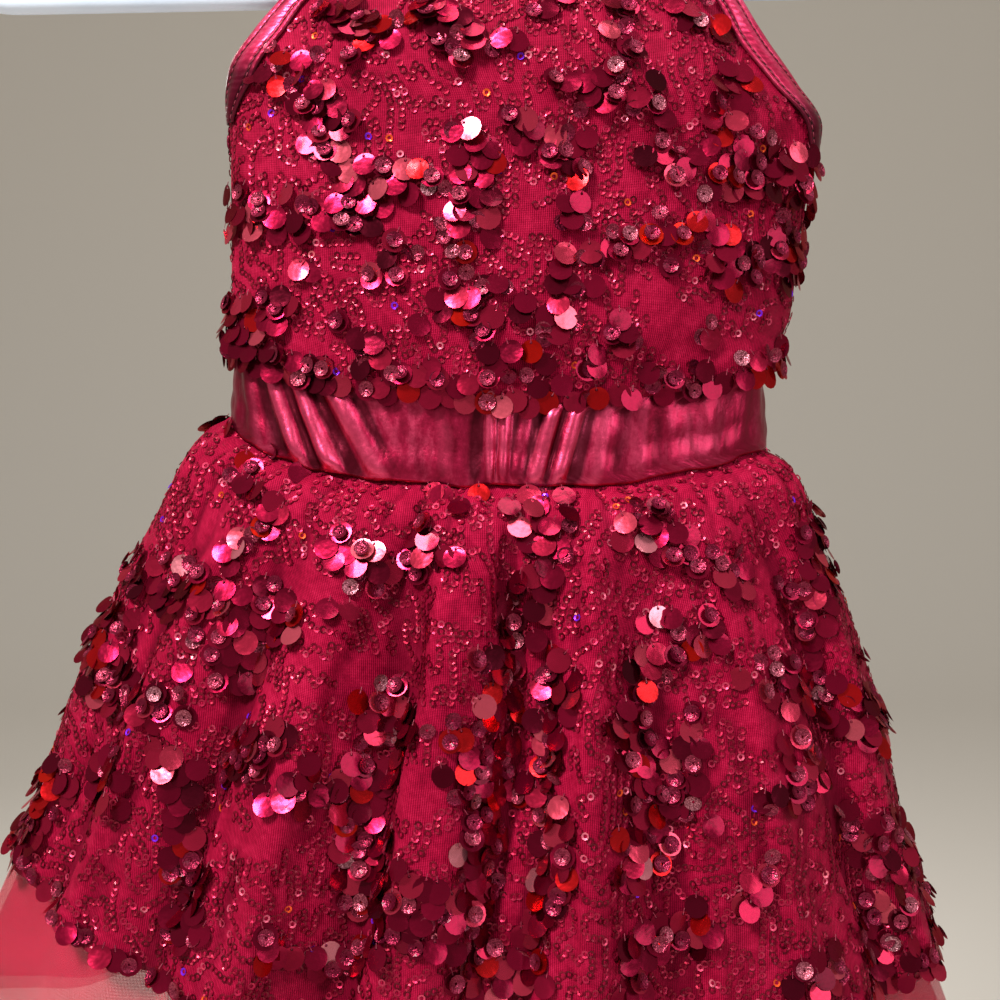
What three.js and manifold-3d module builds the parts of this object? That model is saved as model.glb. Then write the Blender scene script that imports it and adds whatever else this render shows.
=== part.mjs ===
// A child's sequined halter dance dress, hanging empty on a tubular hanger.
// Millimetres, +Z up, and the front faces -Y. The origin is the top of the inside of the
// hanger's hook, where it rests on a rail.
//
// Every cloth piece is a wall built on a grid of points. Rows of the grid run down the dress and
// columns run round it, so neighbours that share the same columns keep an even gap.
// Angles round the body are degrees from the centre front: 90 is the right side as seen from the
// front, 180 the centre back and 270 (or -90) the left side.
import * as THREE from "three";
import { mergeVertices } from "three/addons/utils/BufferGeometryUtils.js";
import Module from "manifold-3d";

const cloth = 1.2; // thickness of each cloth wall
const seamGap = 0.3; // between two pieces that are sewn together
const overlapStep = cloth + seamGap; // from the middle of one wall to the middle of the next
const bindingWidth = 9; // how far the binding laps over an edge
const bindingWall = 1;
const bindingButt = 2; // where one binding stops short of the next one's edge
const torsoColumns = 26; // across each half of the bodice and the waistband
const skirtColumns = 52; // across each half of the skirt, in whole steps of the waistband's

// ---------------------------------------------------------------- hanger sizes
const hanger = {
  tubeRadius: 4.5,
  width: 419,
  neckZ: -112, // centre of the tube where the two arms meet
  barZ: -215.7, // centre of the bottom bar
  endRadius: 17, // of the rounded ends
  armSlope: 0.445, // fall per millimetre out from the neck
  hookRadius: 20, // of the hook's centreline
  hookTail: 215, // degrees of the circle that the hook goes round
  tilt: 1.06, // the dress pulls one side down a little
};

// ---------------------------------------------------------------- bodice
// The front, from the neckline down to its free lower edge. left and right are the two edges,
// edgeY is how far forward they lie, bulge how far the middle stands in front of them, and round
// runs from 0.5 for an elliptical side to 1 for a flat drape. sag is how much the middle hangs
// lower than the edges.
const bodiceFront = [
  { down: 150, leftX: -41, leftZ: -150, rightX: 42, rightZ: -149, edgeY: -10, bulge: 3, round: 1, sag: 10 },
  { down: 176, leftX: -57, leftZ: -176, rightX: 55, rightZ: -174, edgeY: -10.5, bulge: 7, round: 1, sag: 8 },
  { down: 202, leftX: -71.7, leftZ: -202, rightX: 68.5, rightZ: -200, edgeY: -10.5, bulge: 13, round: 1.05, sag: 6 },
  { down: 220, leftX: -83.4, leftZ: -220, rightX: 79.5, rightZ: -219, edgeY: -10, bulge: 19, round: 1, sag: 5 },
  { down: 236, leftX: -94.5, leftZ: -232, rightX: 91, rightZ: -236, edgeY: -8.5, bulge: 24.5, round: 0.9, sag: 4 },
  { down: 250, leftX: -104.8, leftZ: -246, rightX: 103, rightZ: -251, edgeY: -6, bulge: 28.5, round: 0.74, sag: 4 },
  { down: 261, leftX: -106.7, leftZ: -256, rightX: 113, rightZ: -266, edgeY: -3, bulge: 31, round: 0.6, sag: 4 },
  { down: 272, leftX: -106.8, leftZ: -265, rightX: 111.5, rightZ: -280, edgeY: -0.15, bulge: 33.3, round: 0.5, sag: 4 },
  { down: 302, leftX: -107.3, leftZ: -300, rightX: 107.4, rightZ: -307, edgeY: -0.15, bulge: 35.5, round: 0.5, sag: 7 },
  { down: 332, leftX: -107.8, leftZ: -330, rightX: 104.6, rightZ: -335, edgeY: -0.15, bulge: 36, round: 0.5, sag: 11 },
  { down: 353, leftX: -108.9, leftZ: -350, rightX: 98, rightZ: -356, edgeY: -0.15, bulge: 33.3, round: 0.5, sag: 14.5 },
];
// The back, which only reaches up to the underarms. It shares the side seams of the front.
const bodiceBack = [
  { down: 272, depth: 23, sag: 7 },
  { down: 302, depth: 26, sag: 5 },
  { down: 332, depth: 26.5, sag: 4 },
  { down: 353, depth: 25.3, sag: 4 },
];
const underarm = 272; // the row where the armholes end
const lowerEdge = 353;
const seatedFrom = 346; // from here down it lies on the waistband
const seatedEase = 1.2; // how loosely at the top of that strip

// ---------------------------------------------------------------- waistband
const waist = { centre: -6.2, half: 101.2, front: 32, back: 24 };
const waistbandTop = 6; // how far it goes up under the bodice
const heading = 5; // how far the skirt and the net go up along the waistband
const turnDrop = 0.8; // where the skirt leaves the waistband; the layers inside it leave lower down
const waistSeam = { left: -372, right: -385, frontSag: 19, backSag: 4, leftDip: 7.6 };

// ---------------------------------------------------------------- skirt
// Sections of the sequined skirt by their drop below the waist seam.
const skirt = [
  { drop: -6, centre: -6.2, half: 102.7, front: 33.5, back: 25.5 },
  { drop: 1, centre: -6.2, half: 102.7, front: 33.5, back: 25.5 },
  { drop: 6, centre: -7, half: 110.6, front: 40, back: 29 },
  { drop: 14, centre: -8, half: 117.6, front: 46, back: 32 },
  { drop: 38, centre: -10, half: 128.6, front: 53, back: 35 },
  { drop: 60, centre: -11.3, half: 139.8, front: 58, back: 38 },
  { drop: 90, centre: -13.8, half: 153, front: 63, back: 41 },
  { drop: 120, centre: -15.8, half: 163, front: 67, back: 43 },
  { drop: 150, centre: -18, half: 172.5, front: 70, back: 45 },
  { drop: 180, centre: -21, half: 185.5, front: 73, back: 47 },
  { drop: 205, centre: -23, half: 194.5, front: 76, back: 49 },
  { drop: 256, centre: -24, half: 209, front: 80, back: 52 },
];
const skirtLength = { left: 172, right: 197, frontSag: 16, backSag: 12, leftDip: 7.6 };
// Rows of the skirt, as shares of its length, below the two rows on the waistband.
const skirtRows = [0.03, 0.075, 0.19, 0.33, 0.48, 0.65, 0.83, 1];

// The largest folds. A positive depth is a valley and a negative one a ridge. width is half the
// fold's own width in degrees, lean its drift in degrees over 100 mm of drop, and start the drop
// where it begins to open.
const folds = [
  { at: -62, width: 11, depth: 7, lean: -1, start: 8 },
  { at: -36, width: 8, depth: 8, lean: -1, start: 4 },
  { at: -25, width: 7, depth: -4, lean: 0, start: 20 },
  { at: -14, width: 8, depth: 12, lean: -1, start: 2 },
  { at: -4, width: 6, depth: -4, lean: 0, start: 10 },
  { at: 6, width: 8.5, depth: 14, lean: -2, start: 0 },
  { at: 15, width: 5.5, depth: -4, lean: -1, start: 6 },
  { at: 25, width: 7, depth: 7, lean: 0, start: 15 },
  { at: 38, width: 9, depth: -3, lean: 1, start: 30 },
  { at: 55, width: 10, depth: 9, lean: 1, start: 5 },
  { at: 122, width: 11, depth: 6, lean: 1, start: 4 },
  { at: 141, width: 8, depth: 9, lean: 0, start: 6 },
  { at: 150, width: 6, depth: -3, lean: 0, start: 12 },
  { at: 159, width: 8, depth: 10, lean: -1, start: 2 },
  { at: 178, width: 9, depth: 11, lean: 0, start: 5 },
  { at: 188, width: 6, depth: -4, lean: 0, start: 12 },
  { at: 197, width: 8, depth: 9, lean: 1, start: 3 },
  { at: 217, width: 9, depth: 9, lean: 0, start: 8 },
  { at: 236, width: 11, depth: 6, lean: -1, start: 5 },
];
const foldOpening = 75; // drop over which a fold opens to its full depth
const foldAtWaist = 0.22; // share of a fold's depth that is already there at its start

// ---------------------------------------------------------------- net underskirt
// Two layers of net under the sequined skirt. inward is the distance inside the skirt's front and
// back, and sideShare how much of it they keep at the narrow sides.
const sideShare = 0.72;
const netLayers = [
  { name: "net_upper_layer", atWaist: overlapStep * 2, inward: 6.5, length: 250, ruffle: 5.5 },
  { name: "net_lower_layer", atWaist: overlapStep * 3, inward: 12, length: 244, ruffle: 5.2 },
];
const netColumns = 72; // all round
const netRuffles = 12; // all round
const netRows = [0.06, 0.2, 0.45, 0.72, 0.87, 1];
const netSideRise = 10; // how much shorter the left side hangs
const netSettled = 12; // drop by which it stands its full distance inside the skirt
const ruffleFrom = 0.75; // share of the net's length where its ruffles start

// ---------------------------------------------------------------- small helpers
const radians = (degrees) => (degrees * Math.PI) / 180;
const lerp = (a, b, share) => a + (b - a) * share;

function smooth(from, to, value) {
  const share = Math.min(1, Math.max(0, (value - from) / (to - from)));
  return share * share * (3 - 2 * share);
}

// The row of a table at a value of one of its columns, with every other column carried smoothly
// between the rows and never past them.
function rowAt(table, column, value) {
  const x = table.map((row) => row[column]);
  const last = x.length - 1;
  const inside = Math.min(x[last], Math.max(x[0], value));
  let i = 0;
  while (i < last - 1 && inside > x[i + 1]) i++;
  const width = x[i + 1] - x[i];
  const share = (inside - x[i]) / width;
  const made = {};
  for (const name of Object.keys(table[0])) {
    const slope = (k) => (table[k + 1][name] - table[k][name]) / (x[k + 1] - x[k]);
    const tangent = (k) => {
      if (k === 0) return slope(0);
      if (k === last) return slope(last - 1);
      const [before, after] = [slope(k - 1), slope(k)];
      return before * after <= 0 ? 0 : (2 * before * after) / (before + after);
    };
    const [a, b] = [table[i][name], table[i + 1][name]];
    const s2 = share * share;
    const s3 = s2 * share;
    made[name] =
      a * (2 * s3 - 3 * s2 + 1) +
      b * (3 * s2 - 2 * s3) +
      width * (tangent(i) * (s3 - 2 * s2 + share) + tangent(i + 1) * (s3 - s2));
  }
  return made;
}

// Angles that split a curve between two angles into the given shares of its length. turnWeight is
// how many millimetres a turn of one radian counts for, so tight bends get more of the points.
function anglesAlong(curve, from, to, shares, turnWeight = 0) {
  const steps = 360;
  const angles = Array.from({ length: steps + 1 }, (_, i) => lerp(from, to, i / steps));
  const points = angles.map(curve);
  const along = [0];
  for (let i = 1; i <= steps; i++) {
    const step = points[i].clone().sub(points[i - 1]);
    const before = i > 1 ? points[i - 1].clone().sub(points[i - 2]) : step;
    along.push(along[i - 1] + step.length() + turnWeight * step.angleTo(before));
  }
  return shares.map((share) => {
    const wanted = share * along[steps];
    let i = 1;
    while (i < steps && along[i] < wanted) i++;
    return lerp(angles[i - 1], angles[i], (wanted - along[i - 1]) / (along[i] - along[i - 1]));
  });
}

const evenShares = (count) => Array.from({ length: count + 1 }, (_, i) => i / count);

// ---------------------------------------------------------------- walls
// Outward normals of a grid of points. wrapped joins its last column to its first. From the row
// seamFrom down, the two ends of each row stand square to the side seams.
function gridNormals(grid, wrapped, seamFrom = 0) {
  const columns = grid[0].length;
  const at = (r, c) => grid[Math.min(grid.length - 1, Math.max(0, r))][
    wrapped ? (c + columns) % columns : Math.min(columns - 1, Math.max(0, c))
  ];
  return grid.map((row, r) =>
    row.map((_, c) => {
      const across = at(r, c + 1).clone().sub(at(r, c - 1));
      const down = at(r + 1, c).clone().sub(at(r - 1, c));
      const normal = down.cross(across);
      const atSeam = !wrapped && r >= seamFrom && (c === 0 || c === columns - 1);
      return (atSeam ? normal.setY(0) : normal).normalize();
    }),
  );
}

const moved = (point, direction, distance) => point.clone().addScaledVector(direction, distance);

// A closed geometry between two grids of the same size.
function between(outer, inner, wrapped) {
  const rows = outer.length;
  const columns = outer[0].length;
  const out = (r, c) => r * columns + (c % columns);
  const into = (r, c) => rows * columns + out(r, c);
  const corners = [...outer.flat(), ...inner.flat()];
  const positions = corners.flatMap((p) => [p.x, p.y, p.z]);
  const index = [];
  // A four-sided face is split along its shorter diagonal, so walls that follow each other agree.
  const quad = (a, b, c, d) => {
    const straight = corners[a].distanceTo(corners[c]) <= corners[b].distanceTo(corners[d]) + 1e-4;
    index.push(...(straight ? [a, b, c, a, c, d] : [b, c, d, b, d, a]));
  };
  const across = wrapped ? columns : columns - 1;
  for (let c = 0; c < across; c++) {
    for (let r = 0; r < rows - 1; r++) {
      quad(out(r, c), out(r + 1, c), out(r + 1, c + 1), out(r, c + 1));
      quad(into(r, c), into(r, c + 1), into(r + 1, c + 1), into(r + 1, c));
    }
    quad(out(0, c), out(0, c + 1), into(0, c + 1), into(0, c));
    quad(out(rows - 1, c), into(rows - 1, c), into(rows - 1, c + 1), out(rows - 1, c + 1));
  }
  if (!wrapped) {
    for (let r = 0; r < rows - 1; r++) {
      const end = columns - 1;
      quad(out(r, 0), into(r, 0), into(r + 1, 0), out(r + 1, 0));
      quad(out(r, end), out(r + 1, end), into(r + 1, end), into(r, end));
    }
  }
  if (signedVolume(positions, index) < 0) index.reverse();
  const geometry = new THREE.BufferGeometry();
  geometry.setAttribute("position", new THREE.Float32BufferAttribute(positions, 3));
  geometry.setIndex(index);
  return geometry;
}

function signedVolume(positions, index) {
  const corner = (i) => new THREE.Vector3().fromArray(positions, index[i] * 3);
  let sum = 0;
  for (let i = 0; i < index.length; i += 3) sum += corner(i).dot(corner(i + 1).cross(corner(i + 2)));
  return sum / 6;
}

function clothWall(grid, wrapped = false, normals = gridNormals(grid, wrapped)) {
  const face = (side) => grid.map((row, r) => row.map((p, c) => moved(p, normals[r][c], side * cloth / 2)));
  return between(face(1), face(-1), wrapped);
}

// A binding folded over the edge of a panel. Each row holds the panel's points from the binding's
// inner edge out to the panel's own edge, and the panel's normals there.
function foldedBinding(rows) {
  const inside = cloth / 2 + seamGap;
  const outside = inside + bindingWall;
  const turn = 0.6; // how square the fold is
  const side = (reach, past) =>
    rows.map(({ points, normals }) => {
      const last = points.length - 1;
      const outward = points[last].clone().sub(points[last - 1]).normalize();
      const leg = (sign) => points.map((p, i) => moved(p, normals[i], sign * reach));
      const fold = (sign) => moved(moved(points[last], outward, past), normals[last], sign * reach * turn);
      return [...leg(1), fold(1), fold(-1), ...leg(-1).reverse()];
    });
  return between(side(outside, seamGap + bindingWall), side(inside, seamGap), false);
}

// ---------------------------------------------------------------- materials
const paint = (color, roughness, metalness) => new THREE.MeshStandardMaterial({ color, roughness, metalness });
const materials = {
  sequinMesh: paint(0xb01638, 0.45, 0.2),
  foil: paint(0xa8183a, 0.3, 0.4),
  net: paint(0xc93a58, 0.8, 0),
  plastic: paint(0xe4ebf5, 0.35, 0),
};

const dress = new THREE.Group();
function add(name, geometry, material) {
  const mesh = new THREE.Mesh(geometry, material);
  mesh.name = name;
  dress.add(mesh);
}

// ---------------------------------------------------------------- hanger
const tilt = new THREE.Matrix4().makeRotationY(radians(-hanger.tilt));

// The tube's centre at a distance out from the neck, along either arm.
function armPoint(x) {
  return new THREE.Vector3(x, 0, hanger.neckZ - hanger.armSlope * Math.abs(x)).applyMatrix4(tilt);
}

// The closed loop of the arms and the bar. Each end is two bends that meet halfway up it.
function hangerLoop() {
  const half = hanger.width / 2 - hanger.tubeRadius;
  const neckRound = 9;
  const loop = new THREE.CurvePath();
  const corner = (x, z) => new THREE.Vector3(x, 0, z);
  const armZ = (x) => hanger.neckZ - hanger.armSlope * x;
  const shoulder = half - hanger.endRadius * 1.35;
  const barEnd = half - hanger.endRadius;
  const sideTop = corner(half, armZ(half) + 2);
  const curve = (a, control, b) => loop.add(new THREE.QuadraticBezierCurve3(a, control, b));
  const line = (a, b) => loop.add(new THREE.LineCurve3(a, b));
  const flip = (p) => corner(-p.x, p.z);
  const neck = corner(neckRound, armZ(neckRound));
  const top = corner(shoulder, armZ(shoulder));
  const side = corner(half, (sideTop.z + hanger.barZ) / 2);
  const bar = corner(barEnd, hanger.barZ);
  line(neck, top);
  curve(top, sideTop, side);
  curve(side, corner(half, hanger.barZ), bar);
  line(bar, flip(bar));
  curve(flip(bar), corner(-half, hanger.barZ), flip(side));
  curve(flip(side), flip(sideTop), flip(top));
  line(flip(top), flip(neck));
  curve(flip(neck), corner(0, hanger.neckZ + 1), neck);
  return loop;
}

// A closed tube round a loop, with more rings where the loop bends.
function loopTube(loop, radius) {
  const sides = 8;
  const ringsPerCurve = { LineCurve3: 4, QuadraticBezierCurve3: 5 };
  const rings = [];
  for (const curve of loop.curves) {
    const count = ringsPerCurve[curve.type];
    for (let i = 0; i < count; i++) {
      const centre = curve.getPoint(i / count);
      const along = curve.getTangent(i / count);
      const across = new THREE.Vector3(0, 1, 0);
      const out = across.clone().cross(along).normalize();
      rings.push(
        Array.from({ length: sides }, (_, k) => {
          const turn = (2 * Math.PI * (k + 0.5)) / sides;
          return moved(moved(centre, out, radius * Math.cos(turn)), across, radius * Math.sin(turn));
        }),
      );
    }
  }
  const index = [];
  const vertex = (r, k) => (r % rings.length) * sides + (k % sides);
  rings.forEach((_, r) => {
    for (let k = 0; k < sides; k++) {
      index.push(vertex(r, k), vertex(r + 1, k), vertex(r + 1, k + 1));
      index.push(vertex(r, k), vertex(r + 1, k + 1), vertex(r, k + 1));
    }
  });
  const positions = rings.flat().flatMap((p) => [p.x, p.y, p.z]);
  if (signedVolume(positions, index) < 0) index.reverse();
  const geometry = new THREE.BufferGeometry();
  geometry.setAttribute("position", new THREE.Float32BufferAttribute(positions, 3));
  return geometry.setIndex(index);
}

// The stem and the hook. The hook's tube passes over the origin, which is its inside top.
function hookTube() {
  const centreZ = hanger.tubeRadius - hanger.hookRadius;
  const path = new THREE.CurvePath();
  const round = (degrees) =>
    new THREE.Vector3(
      hanger.hookRadius * Math.cos(radians(degrees)),
      0,
      centreZ + hanger.hookRadius * Math.sin(radians(degrees)),
    );
  const stemTop = new THREE.Vector3(0, 0, centreZ - hanger.hookRadius - 16);
  const bendEnd = round(0);
  path.add(new THREE.LineCurve3(new THREE.Vector3(0, 0, hanger.neckZ), stemTop));
  const swing = [
    stemTop,
    new THREE.Vector3(2.5, 0, stemTop.z + 9),
    new THREE.Vector3(hanger.hookRadius * 0.8, 0, centreZ - 12),
    bendEnd,
  ];
  const points = new THREE.CatmullRomCurve3(swing, false, "centripetal").getPoints(6);
  const arcSteps = 16;
  for (let i = 1; i <= arcSteps; i++) points.push(round((hanger.hookTail * i) / arcSteps));
  const curve = new THREE.CatmullRomCurve3(
    [new THREE.Vector3(0, 0, hanger.neckZ), new THREE.Vector3(0, 0, hanger.neckZ + 25), ...points],
    false,
    "centripetal",
  );
  const section = new THREE.Shape().absarc(0, 0, hanger.tubeRadius, 0, 2 * Math.PI);
  return new THREE.ExtrudeGeometry(section, { steps: 30, curveSegments: 4, extrudePath: curve, bevelEnabled: false });
}

const wasm = await Module();
wasm.setup();

function solidOf(geometry) {
  const bare = new THREE.BufferGeometry();
  const source = geometry.index ? geometry.toNonIndexed() : geometry;
  bare.setAttribute("position", source.getAttribute("position"));
  const merged = mergeVertices(bare, 1e-4);
  const mesh = new wasm.Mesh({
    numProp: 3,
    vertProperties: merged.attributes.position.array,
    triVerts: new Uint32Array(merged.index.array),
  });
  return new wasm.Manifold(mesh);
}

function geometryOf(solid) {
  const mesh = solid.getMesh();
  const geometry = new THREE.BufferGeometry();
  geometry.setAttribute("position", new THREE.BufferAttribute(mesh.vertProperties, 3));
  return geometry.setIndex(new THREE.BufferAttribute(mesh.triVerts, 1));
}

const hangerSolid = solidOf(loopTube(hangerLoop(), hanger.tubeRadius)).add(solidOf(hookTube()));
add("hanger", geometryOf(hangerSolid).applyMatrix4(tilt), materials.plastic);

// ---------------------------------------------------------------- ovals round the body
// A level round the waist that is higher at the sides than at the front and the back.
function levelAt(level, angle) {
  const sine = Math.sin(radians(angle));
  const cosine = Math.cos(radians(angle));
  const sag = cosine > 0 ? level.frontSag : level.backSag;
  const flat = lerp(level.left, level.right, (1 + sine) / 2) + Math.sign(level.left) * sag * cosine * cosine;
  return flat - level.leftDip * leftFront(angle);
}

// Between the left side seam and the centre front the waist seam hangs a little lower.
function leftFront(angle) {
  const share = Math.min(Math.max((angle + 90) / 88, 0), 1);
  return Math.sin(Math.PI * share ** 0.7);
}

// The two halves of the body. seam is where a half's own side seams lie.
const halves = [
  { name: "front", from: -90, to: 90, seam: -seamGap / 2 },
  { name: "back", from: 90, to: 270, seam: seamGap / 2 },
];
const roundHalves = halves.map((half) => ({ ...half, seam: 0 })); // for a piece with no side seams

// A point of an oval section, moved outwards by a distance.
function ovalPoint(section, half, angle, outward, z) {
  const sine = Math.sin(radians(angle));
  const cosine = Math.cos(radians(angle));
  const depth = section[half.name];
  const normal = new THREE.Vector3(sine / section.half, -cosine / depth, 0).normalize();
  const point = new THREE.Vector3(section.centre + section.half * sine, half.seam - depth * cosine, z);
  return moved(point, normal, outward);
}

const turnWeight = 22; // mm a radian, so the narrow sides of an oval stay round
function ovalAngles(section, half, columns) {
  const curve = (angle) => ovalPoint(section, half, angle, 0, 0);
  return anglesAlong(curve, half.from, half.to, evenShares(columns), turnWeight);
}

// A row at a level of the waistband, outwards of it by a distance, on the flats between the
// waistband's own columns.
function beltRow(half, columns, outward, drop) {
  const corners = ovalAngles(waist, half, torsoColumns).map((angle) =>
    ovalPoint(waist, half, angle, outward, levelAt(waistSeam, angle) - drop),
  );
  return evenShares(columns).map((share) => {
    const place = share * torsoColumns;
    const before = Math.min(torsoColumns - 1, Math.floor(place));
    return corners[before].clone().lerp(corners[before + 1], place - before);
  });
}

// ---------------------------------------------------------------- bodice panels
// Shares of a row's length for its columns. Above the underarms the outer columns lie at the
// binding's own distances from the edge; below them they are even.
const bindingSteps = [0, bindingWidth, bindingWidth + seamGap + 0.1];
// how much longer than square a row crosses the slanting armhole edge
const armholeSlants = [
  { down: 225, slant: 1.22 },
  { down: 241, slant: 1.6 },
  { down: 252, slant: 1.62 },
  { down: 264, slant: 1.2 },
  { down: 272, slant: 1 },
];

function frontShares(down, length) {
  const even = evenShares(torsoColumns);
  const slant = rowAt(armholeSlants, "down", down).slant;
  const steps = bindingSteps.map((step) => (step * slant) / length);
  const inner = steps.length - 1;
  const span = 1 - 2 * steps[inner];
  const bound = even.map((_, c) => {
    const fromRight = torsoColumns - c;
    if (c <= inner) return steps[c];
    if (fromRight <= inner) return 1 - steps[fromRight];
    return steps[inner] + (span * (c - inner)) / (torsoColumns - 2 * inner);
  });
  const loosened = smooth(underarm, lowerEdge, down);
  return even.map((share, c) => lerp(bound[c], share, loosened));
}

function frontPoint(row, angle) {
  const sine = Math.sin(radians(angle));
  const cosine = Math.max(0, Math.cos(radians(angle)));
  const share = (1 + sine) / 2;
  const forward = row.bulge * cosine ** (2 * row.round);
  return new THREE.Vector3(
    lerp(row.leftX, row.rightX, share),
    row.edgeY - forward,
    lerp(row.leftZ, row.rightZ, share) - row.sag * cosine * cosine,
  );
}

// A row that lies on the waistband's own oval, at the heights of another curve.
function seatedRow(half, down, curve) {
  const loose = (seatedEase * (lowerEdge - down)) / (lowerEdge - seatedFrom);
  return ovalAngles(waist, half, torsoColumns).map((angle) =>
    ovalPoint(waist, half, angle, overlapStep + loose, curve(angle).z),
  );
}

function curveLength(curve, from, to) {
  const points = evenShares(120).map((share) => curve(lerp(from, to, share)));
  return points.slice(1).reduce((sum, p, i) => sum + p.distanceTo(points[i]), 0);
}

// Rows close together under the neckline, for its binding, and then wider apart.
const neckline = bodiceFront[0].down;
const frontRows = [
  ...bindingSteps.map((step) => neckline + step),
  172, 186, 200, 213, 224, 234, 243, 251, 258, 265, underarm - bindingButt, underarm,
  284, 300, 316, 332, seatedFrom, lowerEdge,
];
const frontGrid = frontRows.map((down) => {
  const row = rowAt(bodiceFront, "down", down);
  const curve = (angle) => frontPoint(row, angle);
  if (down >= seatedFrom) return seatedRow(halves[0], down, curve);
  const shares = frontShares(down, curveLength(curve, -90, 90));
  return anglesAlong(curve, -90, 90, shares).map(curve);
});

function backPoint(down, angle) {
  const sides = rowAt(bodiceFront, "down", down);
  const row = rowAt(bodiceBack, "down", down);
  const sine = Math.sin(radians(angle));
  const cosine = Math.min(0, Math.cos(radians(angle)));
  const share = (1 + sine) / 2;
  return new THREE.Vector3(
    lerp(sides.leftX, sides.rightX, share),
    seamGap / 2 - row.depth * cosine,
    lerp(sides.leftZ, sides.rightZ, share) - row.sag * cosine * cosine,
  );
}
const backRows = [underarm, underarm + bindingWidth, 296, 316, 332, seatedFrom, lowerEdge];
const backGrid = backRows.map((down) => {
  const curve = (angle) => backPoint(down, angle);
  if (down >= seatedFrom) return seatedRow(halves[1], down, curve);
  return anglesAlong(curve, 90, 270, evenShares(torsoColumns)).map(curve);
});

const underarmRow = frontRows.indexOf(underarm);
const frontNormals = gridNormals(frontGrid, false, underarmRow);
const backNormals = gridNormals(backGrid, false);
add("bodice_front", clothWall(frontGrid, false, frontNormals), materials.sequinMesh);
add("bodice_back", clothWall(backGrid, false, backNormals), materials.sequinMesh);

// ---------------------------------------------------------------- bindings
const legColumns = [1, 0];

function armholeBinding(columnOf) {
  return foldedBinding(
    frontGrid.slice(0, underarmRow).map((row, r) => ({
      points: legColumns.map((c) => row[columnOf(c)]),
      normals: legColumns.map((c) => frontNormals[r][columnOf(c)]),
    })),
  );
}

function topBinding(grid, normals, from, to) {
  const rows = [];
  for (let c = from; c <= to; c++) {
    rows.push({ points: legColumns.map((r) => grid[r][c]), normals: legColumns.map((r) => normals[r][c]) });
  }
  return foldedBinding(rows);
}

add("armhole_binding_left", armholeBinding((c) => c), materials.foil);
add("armhole_binding_right", armholeBinding((c) => torsoColumns - c), materials.foil);
const butt = bindingSteps.length - 1;
add("neck_binding", topBinding(frontGrid, frontNormals, butt, torsoColumns - butt), materials.foil);
add("back_binding", topBinding(backGrid, backNormals, 0, torsoColumns), materials.foil);

// ---------------------------------------------------------------- neck strap
// A folded strip from one corner of the neckline, up over the hanger's arm, behind the hook's stem
// and back over the other arm to the other corner.
const strap = { width: 9.6, thickness: 2.8, wrap: 0.4, backY: 9, backDip: 12, armX: 37, inset: 0.36 };

function strapHalf(side) {
  const edgeColumn = side < 0 ? 0 : torsoColumns;
  const innerColumn = side < 0 ? 1 : torsoColumns - 1;
  const corner = frontGrid[0][edgeColumn].clone().lerp(frontGrid[0][innerColumn], strap.inset);
  const outward = frontGrid[0][edgeColumn].clone().sub(frontGrid[1][edgeColumn]).normalize();
  const reach = hanger.tubeRadius + strap.wrap + strap.thickness / 2;
  const axis = armPoint(side * strap.armX);
  const arm = armPoint(side * strap.armX).sub(armPoint(side * (strap.armX - 1))).normalize();
  const back = new THREE.Vector3(0, 1, 0);
  const up = arm.clone().cross(back).multiplyScalar(side).normalize();
  const front = back.clone().negate();
  const edge = frontGrid[0][edgeColumn].clone().sub(frontGrid[0][innerColumn]).normalize();
  const stations = [
    { centre: moved(corner, outward, seamGap * 1.5), normal: front, across: edge },
    { centre: moved(corner, outward, 9).add(new THREE.Vector3(0, 1, 0)), normal: front, across: arm },
  ];
  for (const degrees of [-90, -60, -30, 0, 30, 60, 90]) {
    const normal = up.clone().multiplyScalar(Math.cos(radians(degrees)));
    normal.addScaledVector(back, Math.sin(radians(degrees)));
    stations.push({ centre: moved(axis, normal, reach), normal, across: arm });
  }
  // Behind the arm it swings in towards the stem: share is how far out it still is, dip how far it
  // has dropped, and turn how far its width has swung from the arm's direction to straight down.
  const behind = [
    { share: 0.93, dip: 0.42, turn: 35 },
    { share: 0.75, dip: 0.72, turn: 62 },
    { share: 0.5, dip: 0.9, turn: 78 },
    { share: 0.25, dip: 0.98, turn: 86 },
  ];
  for (const { share, dip, turn } of behind) {
    const centre = new THREE.Vector3(axis.x * share, strap.backY, axis.z - strap.backDip * dip);
    const across = new THREE.Vector3(side * Math.cos(radians(turn)), 0, -Math.sin(radians(turn)));
    stations.push({ centre, normal: back, across });
  }
  return stations;
}

function strapStations() {
  const [left, right] = [strapHalf(-1), strapHalf(1).reverse()];
  const middleZ = (left.at(-1).centre.z + right[0].centre.z) / 2 - strap.backDip * 0.02;
  const down = new THREE.Vector3(0, 0, -1);
  const middle = {
    centre: new THREE.Vector3(0, strap.backY, middleZ),
    normal: new THREE.Vector3(0, 1, 0),
    across: down,
  };
  return [...left, middle, ...right];
}

function strapGeometry() {
  const face = (side) =>
    strapStations().map(({ centre, normal, across }) =>
      [-1, 0, 1].map((share) => {
        const crown = side * (strap.thickness / 2) * (share === 0 ? 1 : 0.75);
        return moved(moved(centre, across, (share * strap.width) / 2), normal, crown);
      }),
    );
  return between(face(1), face(-1), false);
}
add("neck_strap", strapGeometry(), materials.foil);

// ---------------------------------------------------------------- waistband
// Its top follows the bodice's lower edge, which is the last row of the bodice's grids.
function waistbandGrid(half) {
  const hem = half.name === "front" ? frontGrid.at(-1) : backGrid.at(-1);
  const angles = ovalAngles(waist, half, torsoColumns);
  return evenShares(3).map((share) =>
    angles.map((angle, c) => {
      const z = lerp(hem[c].z + waistbandTop, levelAt(waistSeam, angle), share);
      return ovalPoint(waist, half, angle, 0, z);
    }),
  );
}
for (const half of halves) add(`waistband_${half.name}`, clothWall(waistbandGrid(half)), materials.foil);

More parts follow.
